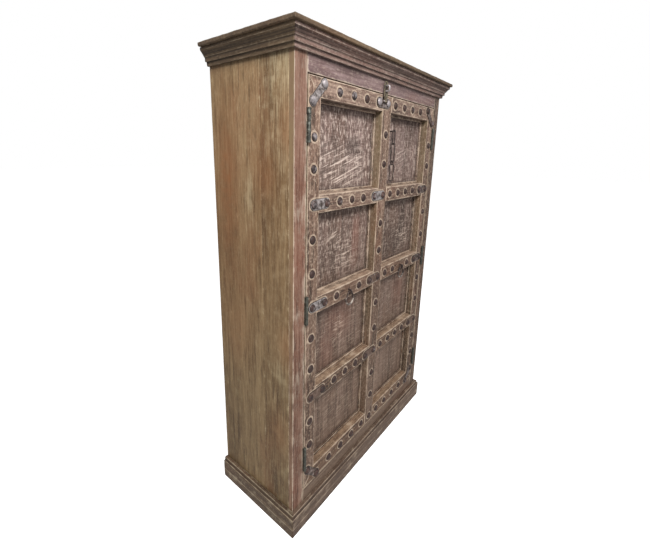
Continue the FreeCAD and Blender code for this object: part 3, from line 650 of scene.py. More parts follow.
# Face frame
faceShape = metres(
    {"along": 7, "across": 4.5, "radius": 3, "relief": 0.8, "dent": 1.6, "wearWidth": 4.5, "grimeReach": 18,
     "stripWidth": 14}, smokeHeights=(1.2, 1.7), lowRailTone=0.6)
faceTimbers = {"left_face_stile": "faceStileTimber", "right_face_stile": "doorStileTimber",
               "top_face_rail": "faceRailTimber", "bottom_face_rail": "plinthTimber"}
stileWashes = [(-0.505, 1.25, 0.05, 0.05, 0.6), (-0.505, 0.91, 0.05, 0.03, 0.7),
               (-0.505, 0.645, 0.05, 0.05, 0.8), (-0.505, 0.4, 0.05, 0.04, 0.5)]
for number, (node, finish) in enumerate(faceTimbers.items()):
    isStile = node.endswith("stile")
    low, high = box(node)
    made = board(low, high, dict(faceShape, grain="z" if isStile else "x"), 170 + number)
    points, faces, fields, normal = made
    x, z = points[:, [0, 2]].T
    # Painted shade under the cornice, and growing up the stiles towards it
    upperShadow = fade(z, *faceShape["smokeHeights"])*isStile
    fields["shade"] = 0.4*np.maximum(underCornice(z, faceShape["grimeReach"]), upperShadow)
    fields["stain"] = 1.7*fade(abs(normal[:, 0]), 0.75, 1)*isStile
    # The bottom face rail is painted lighter, painted light that lifts the shadow of the doors
    if node == "bottom_face_rail":
        fields["tone"][:] = faceShape["lowRailTone"]
    if node == "left_face_stile":
        strip = 0.9*bell(high[0] - x, faceShape["stripWidth"])
        fields["wash"] = np.maximum(strip, patched(points, stileWashes))
    piece(node, [made], finish)
print("face frame made")


# A path with rounded corners, where each curve takes up at most a share of the lines that meet
def roundedPath(corners, radius, closed, arc=6, most=0.48):
    corners = np.array(corners, float)
    shares = np.linspace(0, 1, arc)[:, None]
    spots = []
    for index, here in enumerate(corners):
        if not closed and index in (0, len(corners) - 1):
            spots.append(here[None])
            continue
        inward, onward = corners[index - 1] - here, corners[(index + 1) % len(corners)] - here
        reach = min(radius, np.linalg.norm(inward)*most, np.linalg.norm(onward)*most)
        start, end = here + unitLong(inward)*reach, here + unitLong(onward)*reach
        spots.append((1 - shares)**2*start + 2*shares*(1 - shares)*here + shares**2*end)
    return np.concatenate(spots)


# Mouldings: a section carried round the front and the two sides, mitred at the corners
def smoothSection(corners, radius, arc):
    # Round every corner of the section, and mark the outer arrises for wear and the inner grooves for
    # painted shade
    inward, onward = corners - np.roll(corners, 1, 0), np.roll(corners, -1, 0) - corners
    turns = np.sign(inward[:, 0]*onward[:, 1] - inward[:, 1]*onward[:, 0])
    marks = 1 - abs(2*np.linspace(0, 1, arc) - 1)*0.6
    return roundedPath(corners, radius, True, arc, 0.45), (turns[:, None]*marks).ravel()


def subdivided(spots, marks, step):
    # Points along the section no further apart than step
    outSpots, outMarks = [], []
    for index in range(len(spots)):
        following = (index + 1) % len(spots)
        span = spots[following] - spots[index]
        count = max(1, int(np.ceil(np.linalg.norm(span)/step)))
        for part in range(count):
            share = part/count
            outSpots.append(spots[index] + span*share)
            outMarks.append(marks[index]*(1 - share) + marks[following]*share)
    return np.array(outSpots), np.array(outMarks)


def mouldingRun(side, section, marks, shape, seed):
    over, up = section.T
    halfWidth = box("right_face_stile")[1][0]
    faceY = box("left_face_stile")[0][1]
    sign = 1 if side == "right" else -1
    first = np.stack([sign*(halfWidth + over), faceY - over, shape["foot"] + up], -1)
    last = first.copy()
    if side == "front":
        last[:, 0] *= -1
        outward = np.array([0, -1, 0])
    else:
        last[:, 1] = box("left_side_panel")[1][1]
        outward = np.array([sign, 0, 0])
    if side == "left":
        first, last = last, first
    length = np.linalg.norm(last - first, axis=1).max()
    stations = np.linspace(0, 1, int(length/shape["along"]) + 2)[:, None, None]
    points = first[None]*(1 - stations) + last[None]*stations
    rows, columns = points.shape[:2]
    points = points.reshape(-1, 3)
    arris, creaseShadow = np.clip(np.tile(marks, rows), 0, 1), np.clip(-np.tile(marks, rows), 0, 1)
    rough = layeredNoise(points, shape["noise"], seed)
    chips = np.clip(layeredNoise(points, 45, seed + 3) - 0.25, 0, 1)
    depth = shape["relief"]*(0.5 + 0.5*rough) + shape["chip"]*chips*arris
    depth = np.where(np.tile(over, rows) > shape["seat"], depth, 0)
    points = points - outward*depth[:, None]
    index = np.arange(rows*columns).reshape(rows, columns)
    faces = gridQuads(wrapped(index, 1).T).tolist() + [index[0][::-1].tolist(), index[-1].tolist()]
    fields = timberFields(points, arris, np.random.default_rng(seed))
    # Painted shade in the grooves
    fields["shade"] = creaseShadow*0.9
    return points, faces, fields


mouldings = {
    "cornice": metres(
        {"along": 8, "relief": 0.6, "chip": 2.2, "radius": 1.6, "step": 3, "seat": 3}, arc=4, noise=22,
        foot=corniceFoot, seed=200, section=[
            (0, 0), (9.5, 0), (11, 13), (17, 13), (17.4, 25), (20.5, 28), (24.5, 34), (29, 40), (35, 46),
            (35, 55), (0, 55)]),
    "plinth": metres(
        {"along": 8, "relief": 0.7, "chip": 2.6, "radius": 3, "step": 5, "seat": 3}, arc=5,
        noise=(14, 14, 40), foot=0, seed=210, section=[
            (0, 0), (20.4, 0), (21, 40), (21, 84), (15, 84.5), (15, 98), (0, 98)]),
}
for name, shape in mouldings.items():
    section, marks = smoothSection(np.array(shape["section"])*millimetre, shape["radius"], shape["arc"])
    section, marks = subdivided(section, marks, shape["step"])
    for number, side in enumerate(("front",) + sides):
        run = mouldingRun(side, section, marks, shape, shape["seed"] + number)
        if name == "plinth" and side == "front":
            run[2]["tone"] = run[0][:, 0]*0.9
        finish = name + ("Timber" if side == "front" else "SideTimber")
        piece(f"{name}_{side}", [run], finish)

capShape = metres({"along": 9, "across": 5, "radius": 5, "relief": 0.8, "dent": 1.4, "wearWidth": 5},
                  grain="x")
points, faces, fields, normal = board(*box("cornice_cap"), capShape, 220)
fields["wear"] *= 0.4
# Painted shade on the cap's side faces
fields["shade"] = 0.3*fade(abs(normal[:, 0]), 0.3, 0.8)
piece("cornice_cap", [(points, faces, fields)], "capTimber")
print("mouldings made")

# Door timbers
stileShape = metres({"along": 5, "across": 4, "radius": 3.2, "relief": 0.9, "dent": 1.8, "wearWidth": 5},
                    mitreReach=2.2, toneHeights=(1.0, 1.5))
railNames = ("bottom", "lower", "middle", "upper", "top")
stileWidth = box("left_hinge_stile")[1][0] - box("left_hinge_stile")[0][0]
railHeight = box("left_rail_lower")[1][2] - box("left_rail_lower")[0][2]


def mitreEnd(points, axis, edge, inward, share, width):
    # Near one end, draw the points inwards by a share of the width of the timber that they meet
    reach = stileShape["mitreReach"]*width
    gap = (points[:, axis] - edge)*inward
    cut = width*share
    drawn = edge + inward*(cut + gap*(reach - cut)/reach)
    points[:, axis] = np.where(gap < reach, drawn, points[:, axis])


def mitre(points, low, high, side, end):
    # Hinge stiles and corner rails are longest on the door's outer edges
    across, up = ((points - low)/(high - low))[:, [0, 2]].T
    if end == "both":
        share = across if side == "left" else 1 - across
        mitreEnd(points, 2, low[2], 1, share, railHeight)
        mitreEnd(points, 2, high[2], -1, share, railHeight)
    else:
        share = 1 - up if end == "top" else up
        edge, inward = (low[0], 1) if side == "left" else (high[0], -1)
        mitreEnd(points, 0, edge, inward, share, stileWidth)


def doorTimber(node, side, grain, seed, end=None):
    low, high = box(node)
    points, faces, fields, normal = board(low, high, dict(stileShape, grain=grain), seed)
    if end:
        mitre(points, low, high, side, end)
    facing = np.clip(-normal[:, 1]*2, 0, 1)
    ledge = fade(normal[:, 2], 0.5, 1)
    fields["halo"] = ringsAround(points, side, facing)
    # Painted shade on the side faces, darker towards the back of the recess and darkest on the right hinge
    # stile
    recessShadow = 0.7 if node == "right_hinge_stile" else 0.5
    back = fade(points[:, 1], low[1], high[1])
    fields["shade"] = recessShadow*np.clip(back - 0.35, 0, 1)*(1 - facing)*(1 - ledge)
    # Up-facing ledges are painted lighter, painted light from above; they also carry limewash and wear
    fields["tone"] += 0.7*ledge
    # The right door is painted lighter towards the top, painted light
    if side == "right":
        fields["tone"] += 0.6*fade(points[:, 2], *stileShape["toneHeights"])
    fields["wash"] = 0.6*ledge
    if grain == "z":
        fields["stain"] = np.clip(abs(normal[:, 0])*1.5 - 0.5, 0, 1)
    fields["wear"] = np.maximum(fields["wear"], 0.35*ledge)
    finish = "doorStileTimber" if grain == "z" else "doorRailTimber"
    piece(node, [(points, faces, fields)], finish)


for order, side in enumerate(sides):
    doorTimber(side + "_hinge_stile", side, "z", 300 + order, "both")
    for number, level in enumerate(railNames):
        end = level if level in ("bottom", "top") else None
        doorTimber(f"{side}_rail_{level}", side, "x", 310 + 10*order + number, end)
doorTimber("left_meeting_stile", "left", "z", 302)
print("door frames made")

# Planks behind the door frames
plankShape = metres({"along": 7, "across": 5, "radius": 2, "relief": 1.1, "dent": 1.6, "wearWidth": 3,
                     "frameGrime": 16, "jointGrime": 3}, grain="z", flush=0, toneReach=0.15)
plankMarks = {
    "left": {
        "scratches": [(-0.26, 1.40, 0.2, 0.1, 1), (-0.27, 1.135, 0.08, 0.05, 0.75),
                      (-0.2, 0.7, 0.06, 0.05, 0.5)],
        "grime": [(-0.165, 1.475, 0.045, 0.032, 0.65), (-0.29, 1.49, 0.03, 0.02, 0.35),
                  (-0.3, 0.85, 0.1, 0.05, 0.25)],
        "red": [(-0.22, 0.80, 0.09, 0.12, 1), (-0.12, 1.1, 0.03, 0.1, 1), (-0.3, 0.66, 0.05, 0.09, 1)],
        "sawn": [(-0.225, 0.74, 0.035, 0.06, 0.4), (-0.2, 1.05, 0.07, 0.05, 0.4),
                 (-0.13, 1.42, 0.03, 0.1, 0.4)],
        "tones": [(1.08, -0.3)],
    },
    "right": {
        "scratches": [(0.25, 1.42, 0.1, 0.08, 0.75), (0.24, 0.74, 0.1, 0.08, 0.5)],
        "grime": [(0.32, 1.54, 0.1, 0.05, 0.3), (0.2, 1.05, 0.08, 0.08, 0.25)],
        "red": [(0.3, 0.75, 0.06, 0.1, 1)],
        "sawn": [(0.3, 1.05, 0.07, 0.06, 0.4)],
        "tones": [(1.42, 0.45), (1.08, -0.7), (0.38, 0.5)],
    },
}
for order, side in enumerate(sides):
    marks = plankMarks[side]
    edgesX = [corner[0] for corner in box(side + "_rail_lower")]
    edgesZ = [corner[2] for level in railNames for corner in box(f"{side}_rail_{level}")]
    places = boardsAcross(side + "_planks", 0)
    parts = boards(places, plankShape, 340 + 10*order)
    for (low, high), (points, faces, fields, normal) in zip(places, parts):
        x, z = points[:, [0, 2]].T
        facing = np.clip(-normal[:, 1]*2, 0, 1)
        gap = np.min([abs(x - edge) for edge in edgesX] + [abs(z - edge) for edge in edgesZ], axis=0)
        joint = np.minimum(x - low[0], high[0] - x)
        # Painted shade along the rails and stiles of the frame, joined with real dirt stains and dark joints
        # between the planks
        grime = np.maximum(0.8*bell(gap, plankShape["frameGrime"]), patched(points, marks["grime"], 0, 4))
        fields["shade"] = np.maximum(grime*facing, 0.4*bell(joint, plankShape["jointGrime"]))
        fields["scratch"] = patched(points, marks["scratches"])*facing
        fields["stain"] = patched(points, marks["red"], 0, 4)*facing
        fields["wash"] = patched(points, marks["sawn"], 0, 4)*facing
        for height, amount in marks["tones"]:
            fields["tone"] += amount*bell(z - height, plankShape["toneReach"], 4)
        fields["wear"] *= 0
        fields["hidden"] = np.maximum(np.clip(normal[:, 1]*2, 0, 1), 0.3*order)
    piece(side + "_planks", parts, "panelTimber")

beadShape = metres({"along": 9, "across": 3, "radius": 2.6, "relief": 0.5, "dent": 1.0, "wearWidth": 3.5,
                    "width": 9, "grimeReach": 4})


def beadsAround(low, high, width):
    # Two beads across and two upright ones between them, each with its grain
    foot, head = low[2] + width, high[2] - width
    return [("x", low, (high[0], high[1], foot)),
            ("x", (low[0], low[1], head), high),
            ("z", (low[0], low[1], foot), (low[0] + width, high[1], head)),
            ("z", (high[0] - width, low[1], foot), (high[0], high[1], head))]


for order, side in enumerate(sides):
    parts = []
    for opening in islands(side + "_panel_beads"):
        for grain, low, high in beadsAround(*opening, beadShape["width"]):
            made = board(low, high, dict(beadShape, grain=grain), 380 + 20*order + len(parts))
            # Painted shade towards the back of each bead
            made[2]["shade"] = 0.35*bell(high[1] - made[0][:, 1], beadShape["grimeReach"])
            parts.append(made)
    piece(side + "_panel_beads", parts, "doorRailTimber")
print("planks and beads made")

# Forged plates and studs: each is made once, with its back at the origin
plateShape = metres({"thickness": 4, "leastReach": 0.6, "rimWidth": 3, "rimDrop": 0.9, "hammering": 0.45})
strapShape = metres({"length": 104, "width": 38, "waist": 38})
braceShape = metres({"length": 112, "width": 34, "waist": 28})
studShape = metres({"width": 30, "rise": 8, "hammering": 0.5}, tilt=3.1, spread=0.12, sides=14)


def forgedPlate(shape, seed):
    # A grid that follows the outline of two round ends and a waist
    ends = shape["width"]/2
    half = shape["length"]/2 - ends
    curve = np.cos(np.linspace(0.16, math.pi/2, 8))
    along = np.concatenate([-half - ends*curve, np.linspace(-half, half, 22)[1:-1], half + ends*curve[::-1]])
    gap = np.clip(np.minimum(abs(along - half), abs(along + half)), 0, ends)
    disc = np.sqrt(np.maximum(ends**2 - gap**2, 0))
    reach = np.where(abs(along) > half, disc, np.maximum(disc, shape["waist"]/2))
    reach = np.maximum(reach, plateShape["leastReach"])[:, None]
    shares = np.array([-1, -0.9, -0.7, -0.35, 0, 0.35, 0.7, 0.9, 1])
    rows, columns = len(along), len(shares)
    count = rows*columns
    x = np.repeat(along, columns)
    fromEdge = np.minimum(((1 - abs(shares))*reach).ravel(), half + ends - abs(x))
    rim = np.clip(1 - fromEdge/plateShape["rimWidth"], 0, 1)
    flat = np.stack([x, np.zeros(count), (reach*shares).ravel()], -1)
    hammered = layeredNoise(flat, 90, seed)
    face = flat.copy()
    sink = plateShape["rimDrop"]*rim**2 + plateShape["hammering"]*(0.5 + 0.5*hammered)
    face[:, 1] = sink - plateShape["thickness"]
    index = np.arange(count).reshape(rows, columns)
    front = gridQuads(index)
    faces = front.tolist() + (front[:, ::-1] + count).tolist()
    loop = np.concatenate([index[0], index[1:, -1], index[-1, -2::-1], index[-2:0:-1, 0]]).tolist()
    for here, there in zip(loop, loop[1:] + loop[:1]):
        faces.append([there, here, here + count, there + count])
    wear = np.concatenate([0.4 + 0.3*rim + 0.3*hammered, np.zeros(count)])
    # A painted dark outline round the rim, and painted shade on the hidden back
    shade = np.concatenate([np.clip(rim*1.6 - 0.6, 0, 1)*0.9, np.ones(count)])
    return np.concatenate([face, flat]), faces, {"wear": wear, "shade": shade}


def domedStud(shape, seed):
    # Rings from the foot to the crown, as shares of the radius and the rise
    rings = [(1.0, 0.0), (1.0, 0.12), (0.93, 0.36), (0.78, 0.62), (0.55, 0.84), (0.28, 0.97)]
    count, radius, rise = shape["sides"], shape["width"]/2, shape["rise"]
    turns = np.linspace(0, 2*math.pi, count, endpoint=False)
    points = []
    for share, lift in rings:
        reach = share*radius
        points.append(np.stack([reach*np.cos(turns), np.full(count, -lift*rise), reach*np.sin(turns)], -1))
    points = np.concatenate(points + [np.array([[0, -rise, 0]])])
    index = np.arange(len(points) - 1).reshape(-1, count)
    faces = gridQuads(wrapped(index, 1).T).tolist() + [index[0][::-1].tolist()]
    faces += [[here, there, len(points) - 1] for here, there in zip(index[-1], np.roll(index[-1], -1))]
    lift = -points[:, 1]/rise
    points[:, 1] += shape["hammering"]*layeredNoise(points, 120, seed)*np.clip(lift, 0, 1)
    # Painted shade round the foot of the dome, and wear on its crown
    return points, faces, {"wear": 0.1 + 0.5*lift**2, "shade": np.clip(0.7 - 2.2*lift, 0, 1)}


# A tree that sets copies of a forging at marked points, each a little different
def forgingTree(name):
    tree = bpy.data.node_groups.new(name, "GeometryNodeTree")
    kinds = {"Geometry": "Geometry", "Forging": "Object", "Finish": "Material", "Tilt": "Float",
             "Size Spread": "Float", "Seed": "Int"}
    for label, kind in kinds.items():
        tree.interface.new_socket(label, in_out="INPUT", socket_type="NodeSocket" + kind)
    tree.interface.new_socket("Geometry", in_out="OUTPUT", socket_type="NodeSocketGeometry")
    graph = Graph(tree)
    start = tree.nodes.new("NodeGroupInput")
    inputs = {socket.name: Wire(graph, socket) for socket in start.outputs if socket.name}

    def between(low, high, seed):
        sockets = {2: low, 3: high, "Seed": seed}
        return graph.node("FunctionNodeRandomValue", {"data_type": "FLOAT"}, sockets, output=1)

    forging = graph.node("GeometryNodeObjectInfo", {}, {"Object": inputs["Forging"]}, output="Geometry")
    turn = graph.node("GeometryNodeInputNamedAttribute", {"data_type": "FLOAT"}, {"Name": "turn"})
    spin = between(inputs["Tilt"]*-1, inputs["Tilt"], inputs["Seed"])
    around = graph.node("ShaderNodeCombineXYZ", {}, {"Y": turn + spin})
    size = between(1 - inputs["Size Spread"], 1, inputs["Seed"] + 7)
    sockets = {"Points": inputs["Geometry"], "Instance": forging, "Rotation": around, "Scale": size}
    placed = graph.node("GeometryNodeInstanceOnPoints", {}, sockets)
    settings = {"data_type": "FLOAT", "domain": "INSTANCE"}
    sockets = {"Geometry": placed, "Name": "tone", "Value": between(-0.6, 0.9, inputs["Seed"] + 13)}
    toned = graph.node("GeometryNodeStoreNamedAttribute", settings, sockets)
    real = graph.node("GeometryNodeRealizeInstances", {}, {"Geometry": toned})
    done = graph.node("GeometryNodeSetMaterial", {}, {"Geometry": real, "Material": inputs["Finish"]})
    graph.node("NodeGroupOutput", {}, {"Geometry": done})
    return tree


setForgings = forgingTree("setForgings")


def forgingsAt(name, places, turns, bare, values):
    # One plain part with a copy of the forging at each place
    marks = {"turn": np.array(turns), "bare": np.array(bare)}
    carrier = meshObject(name, np.array(places), [], marks, values["Finish"])
    modifier = carrier.modifiers.new("forgings", "NODES")
    modifier.node_group = setForgings
    for item in setForgings.interface.items_tree:
        if item.in_out == "INPUT" and item.name in values:
            modifier[item.identifier] = values[item.name]
    evaluated = carrier.evaluated_get(bpy.context.evaluated_depsgraph_get())
    result = bpy.data.meshes.new_from_object(evaluated)
    carrier.modifiers.clear()
    bpy.data.objects.remove(carrier)
    flat = np.zeros(len(result.vertices)*3)
    result.vertices.foreach_get("co", flat)
    fields = {field: np.zeros(len(result.vertices)) for field in ("wear", "tone", "bare", "shade")}
    for field, amounts in fields.items():
        result.attributes[field].data.foreach_get("value", amounts)
    return flat.reshape(-1, 3), [list(face.vertices) for face in result.polygons], fields


studForging = meshObject("studForging", *domedStud(studShape, 7), finishes["studIron"])
strapForging = meshObject("strapForging", *forgedPlate(strapShape, 11), finishes["plateIron"])
braceForging = meshObject("braceForging", *forgedPlate(braceShape, 12), finishes["plateIron"])
middleHeight = 0.9
# Studs that start in front of this sit on a plate
plateFace = box("left_face_stile")[0][1] - 2*millimetre


def strapBare(seat):
    # Straps by the hinges are bright above the lower rail, those by the meeting stile only on the upper rail
    start = 0.8 if abs(seat[0]) > 0.3 else 1.1
    return 0.5 if seat[2] > start else -0.5


def studSheenAndRust(seat, side):
    # Studs on the upper plates are rubbed bright like their plates, unplated studs high on the left door's
    # hinge side get a painted highlight, and the others stay rust brown
    high = fade(seat[2], 1.2, 1.55)
    if seat[1] < plateFace:
        return (1.6 if side == "left" else 0.6)*high - 0.4
    return (1.2 if seat[0] < -0.15 else 0.25)*high - 0.75


for order, side in enumerate(sides):
    seats = [(x, y + studShape["rise"], z) for x, y, z in studPlaces[side]]
    values = {"Forging": studForging, "Finish": finishes["studIron"], "Tilt": studShape["tilt"],
              "Size Spread": studShape["spread"], "Seed": 21 + order}
    bare = [studSheenAndRust(seat, side) for seat in seats]
    part = forgingsAt(side + "StudPoints", seats, [0]*len(seats), bare, values)
    piece(side + "_studs", [part], "studIron")
    straps, braces = [], []
    for low, high in islands(side + "_straps"):
        middle = (low + high)/2
        (straps if isLevel(low, high) else braces).append((middle[0], high[1], middle[2]))
    outward = 1 if side == "right" else -1
    turns = [math.radians(45)*outward*(1 if z > middleHeight else -1) for x, y, z in braces]
    dull = 0 if side == "left" else 0.6
    strapBares = [strapBare(seat) - dull for seat in straps]
    braceBares = [0.5 - dull if z > middleHeight else -0.3 for x, y, z in braces]
    values = {"Forging": strapForging, "Finish": finishes["plateIron"], "Tilt": 0.02, "Size Spread": 0.03,
              "Seed": 31 + order}
    parts = [forgingsAt(side + "StrapPoints", straps, [0]*len(straps), strapBares, values),
             forgingsAt(side + "BracePoints", braces, turns, braceBares, dict(values, Forging=braceForging))]
    piece(side + "_straps", parts, "plateIron")
for forging in (studForging, strapForging, braceForging):
    bpy.data.objects.remove(forging)
print("studs and straps made")


# Ironwork drawn out of round bar
def evenPath(spots, closed, step=None, count=None):
    # The same path with its points evenly apart, by a step or a count
    ring = np.concatenate([spots, spots[:1]]) if closed else spots
    along = np.concatenate([[0], np.cumsum(np.linalg.norm(np.diff(ring, axis=0), axis=1))])
    count = count or max(6, int(along[-1]/step))
    at = np.linspace(0, along[-1], count, endpoint=not closed)
    return np.stack([np.interp(at, along, ring[:, axis]) for axis in range(3)], -1)


def ironFields(points, wear, bare=0):
    # What the material of iron reads at each point
    blank = np.zeros(len(points))
    return {"wear": blank + wear, "tone": blank, "bare": blank + bare, "shade": blank}


def plainIron(part, wear, bare=0):
    return part[0], part[1], ironFields(part[0], wear, bare)


def forgedBar(spots, radius, closed, plane, seed, count=12, swell=1):
    # A round bar along a path that lies in a plane with the given normal
    rows = len(spots)
    ahead = np.roll(spots, -1, 0) - np.roll(spots, 1, 0) if closed else np.gradient(spots, axis=0)
    normal = np.array(plane, float)
    beside = np.cross(unitLong(ahead), normal)[:, None]
    turns = np.linspace(0, 2*math.pi, count, endpoint=False)[None, :, None]
    ring = np.cos(turns)*beside + np.sin(turns)*normal[None, None]
    girth = radius*swell*np.ones(rows)
    points = (spots[:, None] + ring*girth[:, None, None]).reshape(-1, 3)
    rough = layeredNoise(points, 110, seed)
    points = points - ring.reshape(-1, 3)*(0.45*millimetre*(0.5 + 0.5*rough))[:, None]
    index = np.arange(rows*count).reshape(rows, count)
    around = wrapped(index, 1)
    faces = gridQuads(wrapped(around, 0) if closed else around).tolist()
    if not closed:
        faces += [index[0].tolist(), index[-1][::-1].tolist()]
    return points, faces, ironFields(points, 0.3 + 0.3*rough)


def barInPlane(low, high, axes, pairs, closed, rod, corner, seed):
    # A bar through corners given along two axes, half way along the third
    corners = np.tile((low + high)/2, (len(pairs), 1))
    corners[:, axes] = pairs
    spots = evenPath(roundedPath(corners, corner*rod, closed), closed, 0.8*rod)
    return forgedBar(spots, rod, closed, np.eye(3)[3 - sum(axes)], seed)


def stapleBar(node, across, rod, seed):
    # Two legs joined at the front by a bar along an axis
    low, high = box(node)
    back = high[1]
    low, high = low + rod, high - rod
    pairs = [(back, low[across]), (low[1], low[across]), (low[1], high[across]), (back, high[across])]
    bar = barInPlane(low, high, (1, across), pairs, False, rod, 1.6, seed)
    finish = "barIron"
    if node == "lintel_staple":
        finish = "plateIron"
        bar[2]["bare"] = np.ones(len(bar[0]))
    piece(node, [bar], finish)


def linkBar(low, high, across, rod, seed, corner=2.0):
    # One closed link that lies across (0) or edge on (1)
    low, high = low + rod, high - rod
    pairs = [(low[across], low[2]), (high[across], low[2]), (high[across], high[2]), (low[across], high[2])]
    return barInPlane(low, high, (across, 2), pairs, True, rod, corner, seed)


ringShape = metres({"rod": 4, "top": 18, "bottom": 52, "drop": 30, "corner": 7, "step": 3.5})


def ringPull(node):
    low, high = box(node)
    middle = (low + high)/2
    head = high[2] - ringShape["rod"]
    foot = head - ringShape["drop"]
    half = ringShape["bottom"]/2
    corners = [(-ringShape["top"]/2, head), (ringShape["top"]/2, head)]
    corners += [(half*math.cos(turn), foot - half*math.sin(turn)) for turn in np.linspace(0, math.pi, 13)]
    flat = [(middle[0] + x, middle[1], z) for x, z in corners]
    spots = evenPath(roundedPath(flat, ringShape["corner"], True), True, ringShape["step"])
    swell = 0.86 + 0.2*fade(spots[:, 2], head, low[2])
    points, faces, fields = forgedBar(spots, ringShape["rod"], True, (0, 1, 0), 40, swell=swell)
    fields["wear"] = np.clip((head - points[:, 2])/(head - low[2]) - 0.1, 0, 1)
    piece(node, [(points, faces, fields)], "ringIron")


stapleRods = metres({"ring_eye": 3, "lintel_staple": 3.5})
for side in sides:
    ringPull(side + "_ring_pull")
    stapleBar(side + "_ring_eye", 2, stapleRods["ring_eye"], 44)
stapleBar("lintel_staple", 2, stapleRods["lintel_staple"], 45)
chainShape = metres({"eye": 15.1}, loopCorner=3.2)
chainRod = (box("chain_link_middle")[1][1] - box("chain_link_middle")[0][1])/2
stapleBar("chain_staple", 0, chainRod, 46)
for number, (node, across) in enumerate((("chain_link_upper", 1), ("chain_link_middle", 0))):
    piece(node, [linkBar(*box(node), across, chainRod, 47 + number)], "barIron")
low, high = box("chain_link_end")
eyeLow = np.array([low[0], low[1], high[2] - chainShape["eye"] - 2*chainRod])
loopHigh = np.array([high[0], high[1], eyeLow[2] + 2*chainRod])
eye = linkBar(eyeLow, high, 1, chainRod, 52)
loop = linkBar(low, loopHigh, 0, chainRod, 53, chainShape["loopCorner"])
piece("chain_link_end", [eye, loop], "barIron")
print("rings and chain made")

# Butt hinges: thin leaves let into the gap and rolled knuckles in front of it
hingeShape = metres({"gap": 0.4, "barrel": 6, "lip": 1.2, "tab": 4, "leaf": 6.5, "thickness": 2}, knuckles=5,
                    brightHeight=1.2)
leafShape = metres({"along": 8, "across": 4, "radius": 0.6, "relief": 0.2, "dent": 0, "wearWidth": 2},
                   grain="z")


def rolledKnuckle(x, y, foot, head, seed):
    lip = hingeShape["lip"]
    heights = np.concatenate([[foot, foot + lip*0.4, foot + lip], np.linspace(foot + 2*lip, head - 2*lip, 5),
                              [head - lip, head - lip*0.4, head]])
    swell = np.ones(len(heights))
    swell[[0, -1]] = 0.8
    swell[[1, -2]] = 0.94
    spots = np.stack([np.full(len(heights), x), np.full(len(heights), y), heights], -1)
    return forgedBar(spots, hingeShape["barrel"], False, (1, 0, 0), seed, 16, swell)


def hingeLeaves(node, side, isOuter, first):
    pinLow, pinHigh = islands(side + "_hinge_pins")[0]
    pinX, pinY = ((pinLow + pinHigh)/2)[:2]
    tabStart, leafStart = pinY + hingeShape["tab"], pinY + hingeShape["leaf"]
    thickness, gap = hingeShape["thickness"], hingeShape["gap"]/2
    parts = []
    for number, (low, high) in enumerate(islands(node)):
        start, end = (low[0], low[0] + thickness) if isOuter else (high[0] - thickness, high[0])
        leaf = board((start, leafStart, low[2]), (end, high[1], high[2]), leafShape, 60 + number)
        parts.append(plainIron(leaf, 0.3))
        step = (high[2] - low[2])/hingeShape["knuckles"]
        for index in range(first, hingeShape["knuckles"], 2):
            foot = low[2] + step*index + gap
            head = low[2] + step*(index + 1) - gap
            isBright = foot > hingeShape["brightHeight"] and side == "left"
            knuckle = rolledKnuckle(pinX, pinY, foot, head, 64 + index)
            parts.append(plainIron(knuckle, 0.45, 0.15 if isBright else -0.35))
            tabEnd = leafStart + hingeShape["lip"]
            tab = board((start, tabStart, foot), (end, tabEnd, head), leafShape, 70 + index)
            parts.append(plainIron(tab, 0.3))
    piece(node, parts, "hingeIron")


for side in sides:
    hingeLeaves(side + "_hinge_frame_leaves", side, side == "left", 0)
    hingeLeaves(side + "_hinge_door_leaves", side, side == "right", 1)
    # The pins keep the shape that they come with
    pins = frame["nodes"][side + "_hinge_pins"].data
    pins.materials.clear()
    pins.materials.append(finishes["hingeIron"])
print("hinges made")

# Hasp: a slotted bar that lifts on a knuckle, and the plate that carries it
haspShape = metres(
    {"width": 27, "neck": 12, "neckStart": 3, "neckEnd": 9, "shoulder": 16, "corner": 4, "slot": 12,
     "slotStart": 31, "slotEnd": 68, "slotCorner": 2, "thickness": 4, "bevel": 0.9, "knuckle": 4.4, "ear": 5,
     "earGap": 0.3, "earLength": 8, "plateDrop": 4}, loopPoints=64)


def evenLoop(corners, radius):
    # A closed outline of (x, z) points that starts in the middle of its foot
    flat = [(x, 0, z) for x, z in corners]
    loop = evenPath(roundedPath(flat, radius, True, 8), True, count=haspShape["loopPoints"])[:, [0, 2]]
    start = np.argmin(abs(loop[:, 0]) + np.where(loop[:, 1] < loop[:, 1].mean(), 0, 1))
    return np.roll(loop, -start, 0)


def inset(loop, amount):
    ahead = unitLong(np.roll(loop, -1, 0) - np.roll(loop, 1, 0))
    return loop + np.stack([-ahead[:, 1], ahead[:, 0]], -1)*amount


def slottedBar(x, y, z, tip):
    half, neck, slot = haspShape["width"]/2, haspShape["neck"]/2, haspShape["slot"]/2
    bevel = haspShape["bevel"]
    flank = [(neck, haspShape["neckStart"]), (neck, haspShape["neckEnd"]), (half, haspShape["shoulder"]),
             (half, tip - half)]
    turns = np.linspace(0, math.pi, 9)[1:-1]
    outline = flank + [(half*math.cos(turn), tip - half + half*math.sin(turn)) for turn in turns]
    outline += [(-across, up) for across, up in flank[::-1]]
    outer = evenLoop(outline, haspShape["corner"])
    start, end = haspShape["slotStart"], haspShape["slotEnd"]
    inner = evenLoop([(slot, start), (slot, end), (-slot, end), (-slot, start)], haspShape["slotCorner"])
    front, back = -haspShape["thickness"]/2, haspShape["thickness"]/2
    rings = [(inner, back), (inner, front + bevel), (inset(inner, -bevel), front),
             (inset(outer, bevel), front), (outer, front + bevel), (outer, back - bevel),
             (inset(outer, bevel), back)]
    points = [(x + across, y + depth, z + up) for loop, depth in rings for across, up in loop]
    index = np.arange(len(points)).reshape(-1, haspShape["loopPoints"])
    return np.array(points), gridQuads(wrapped(wrapped(index, 1), 0)).tolist()


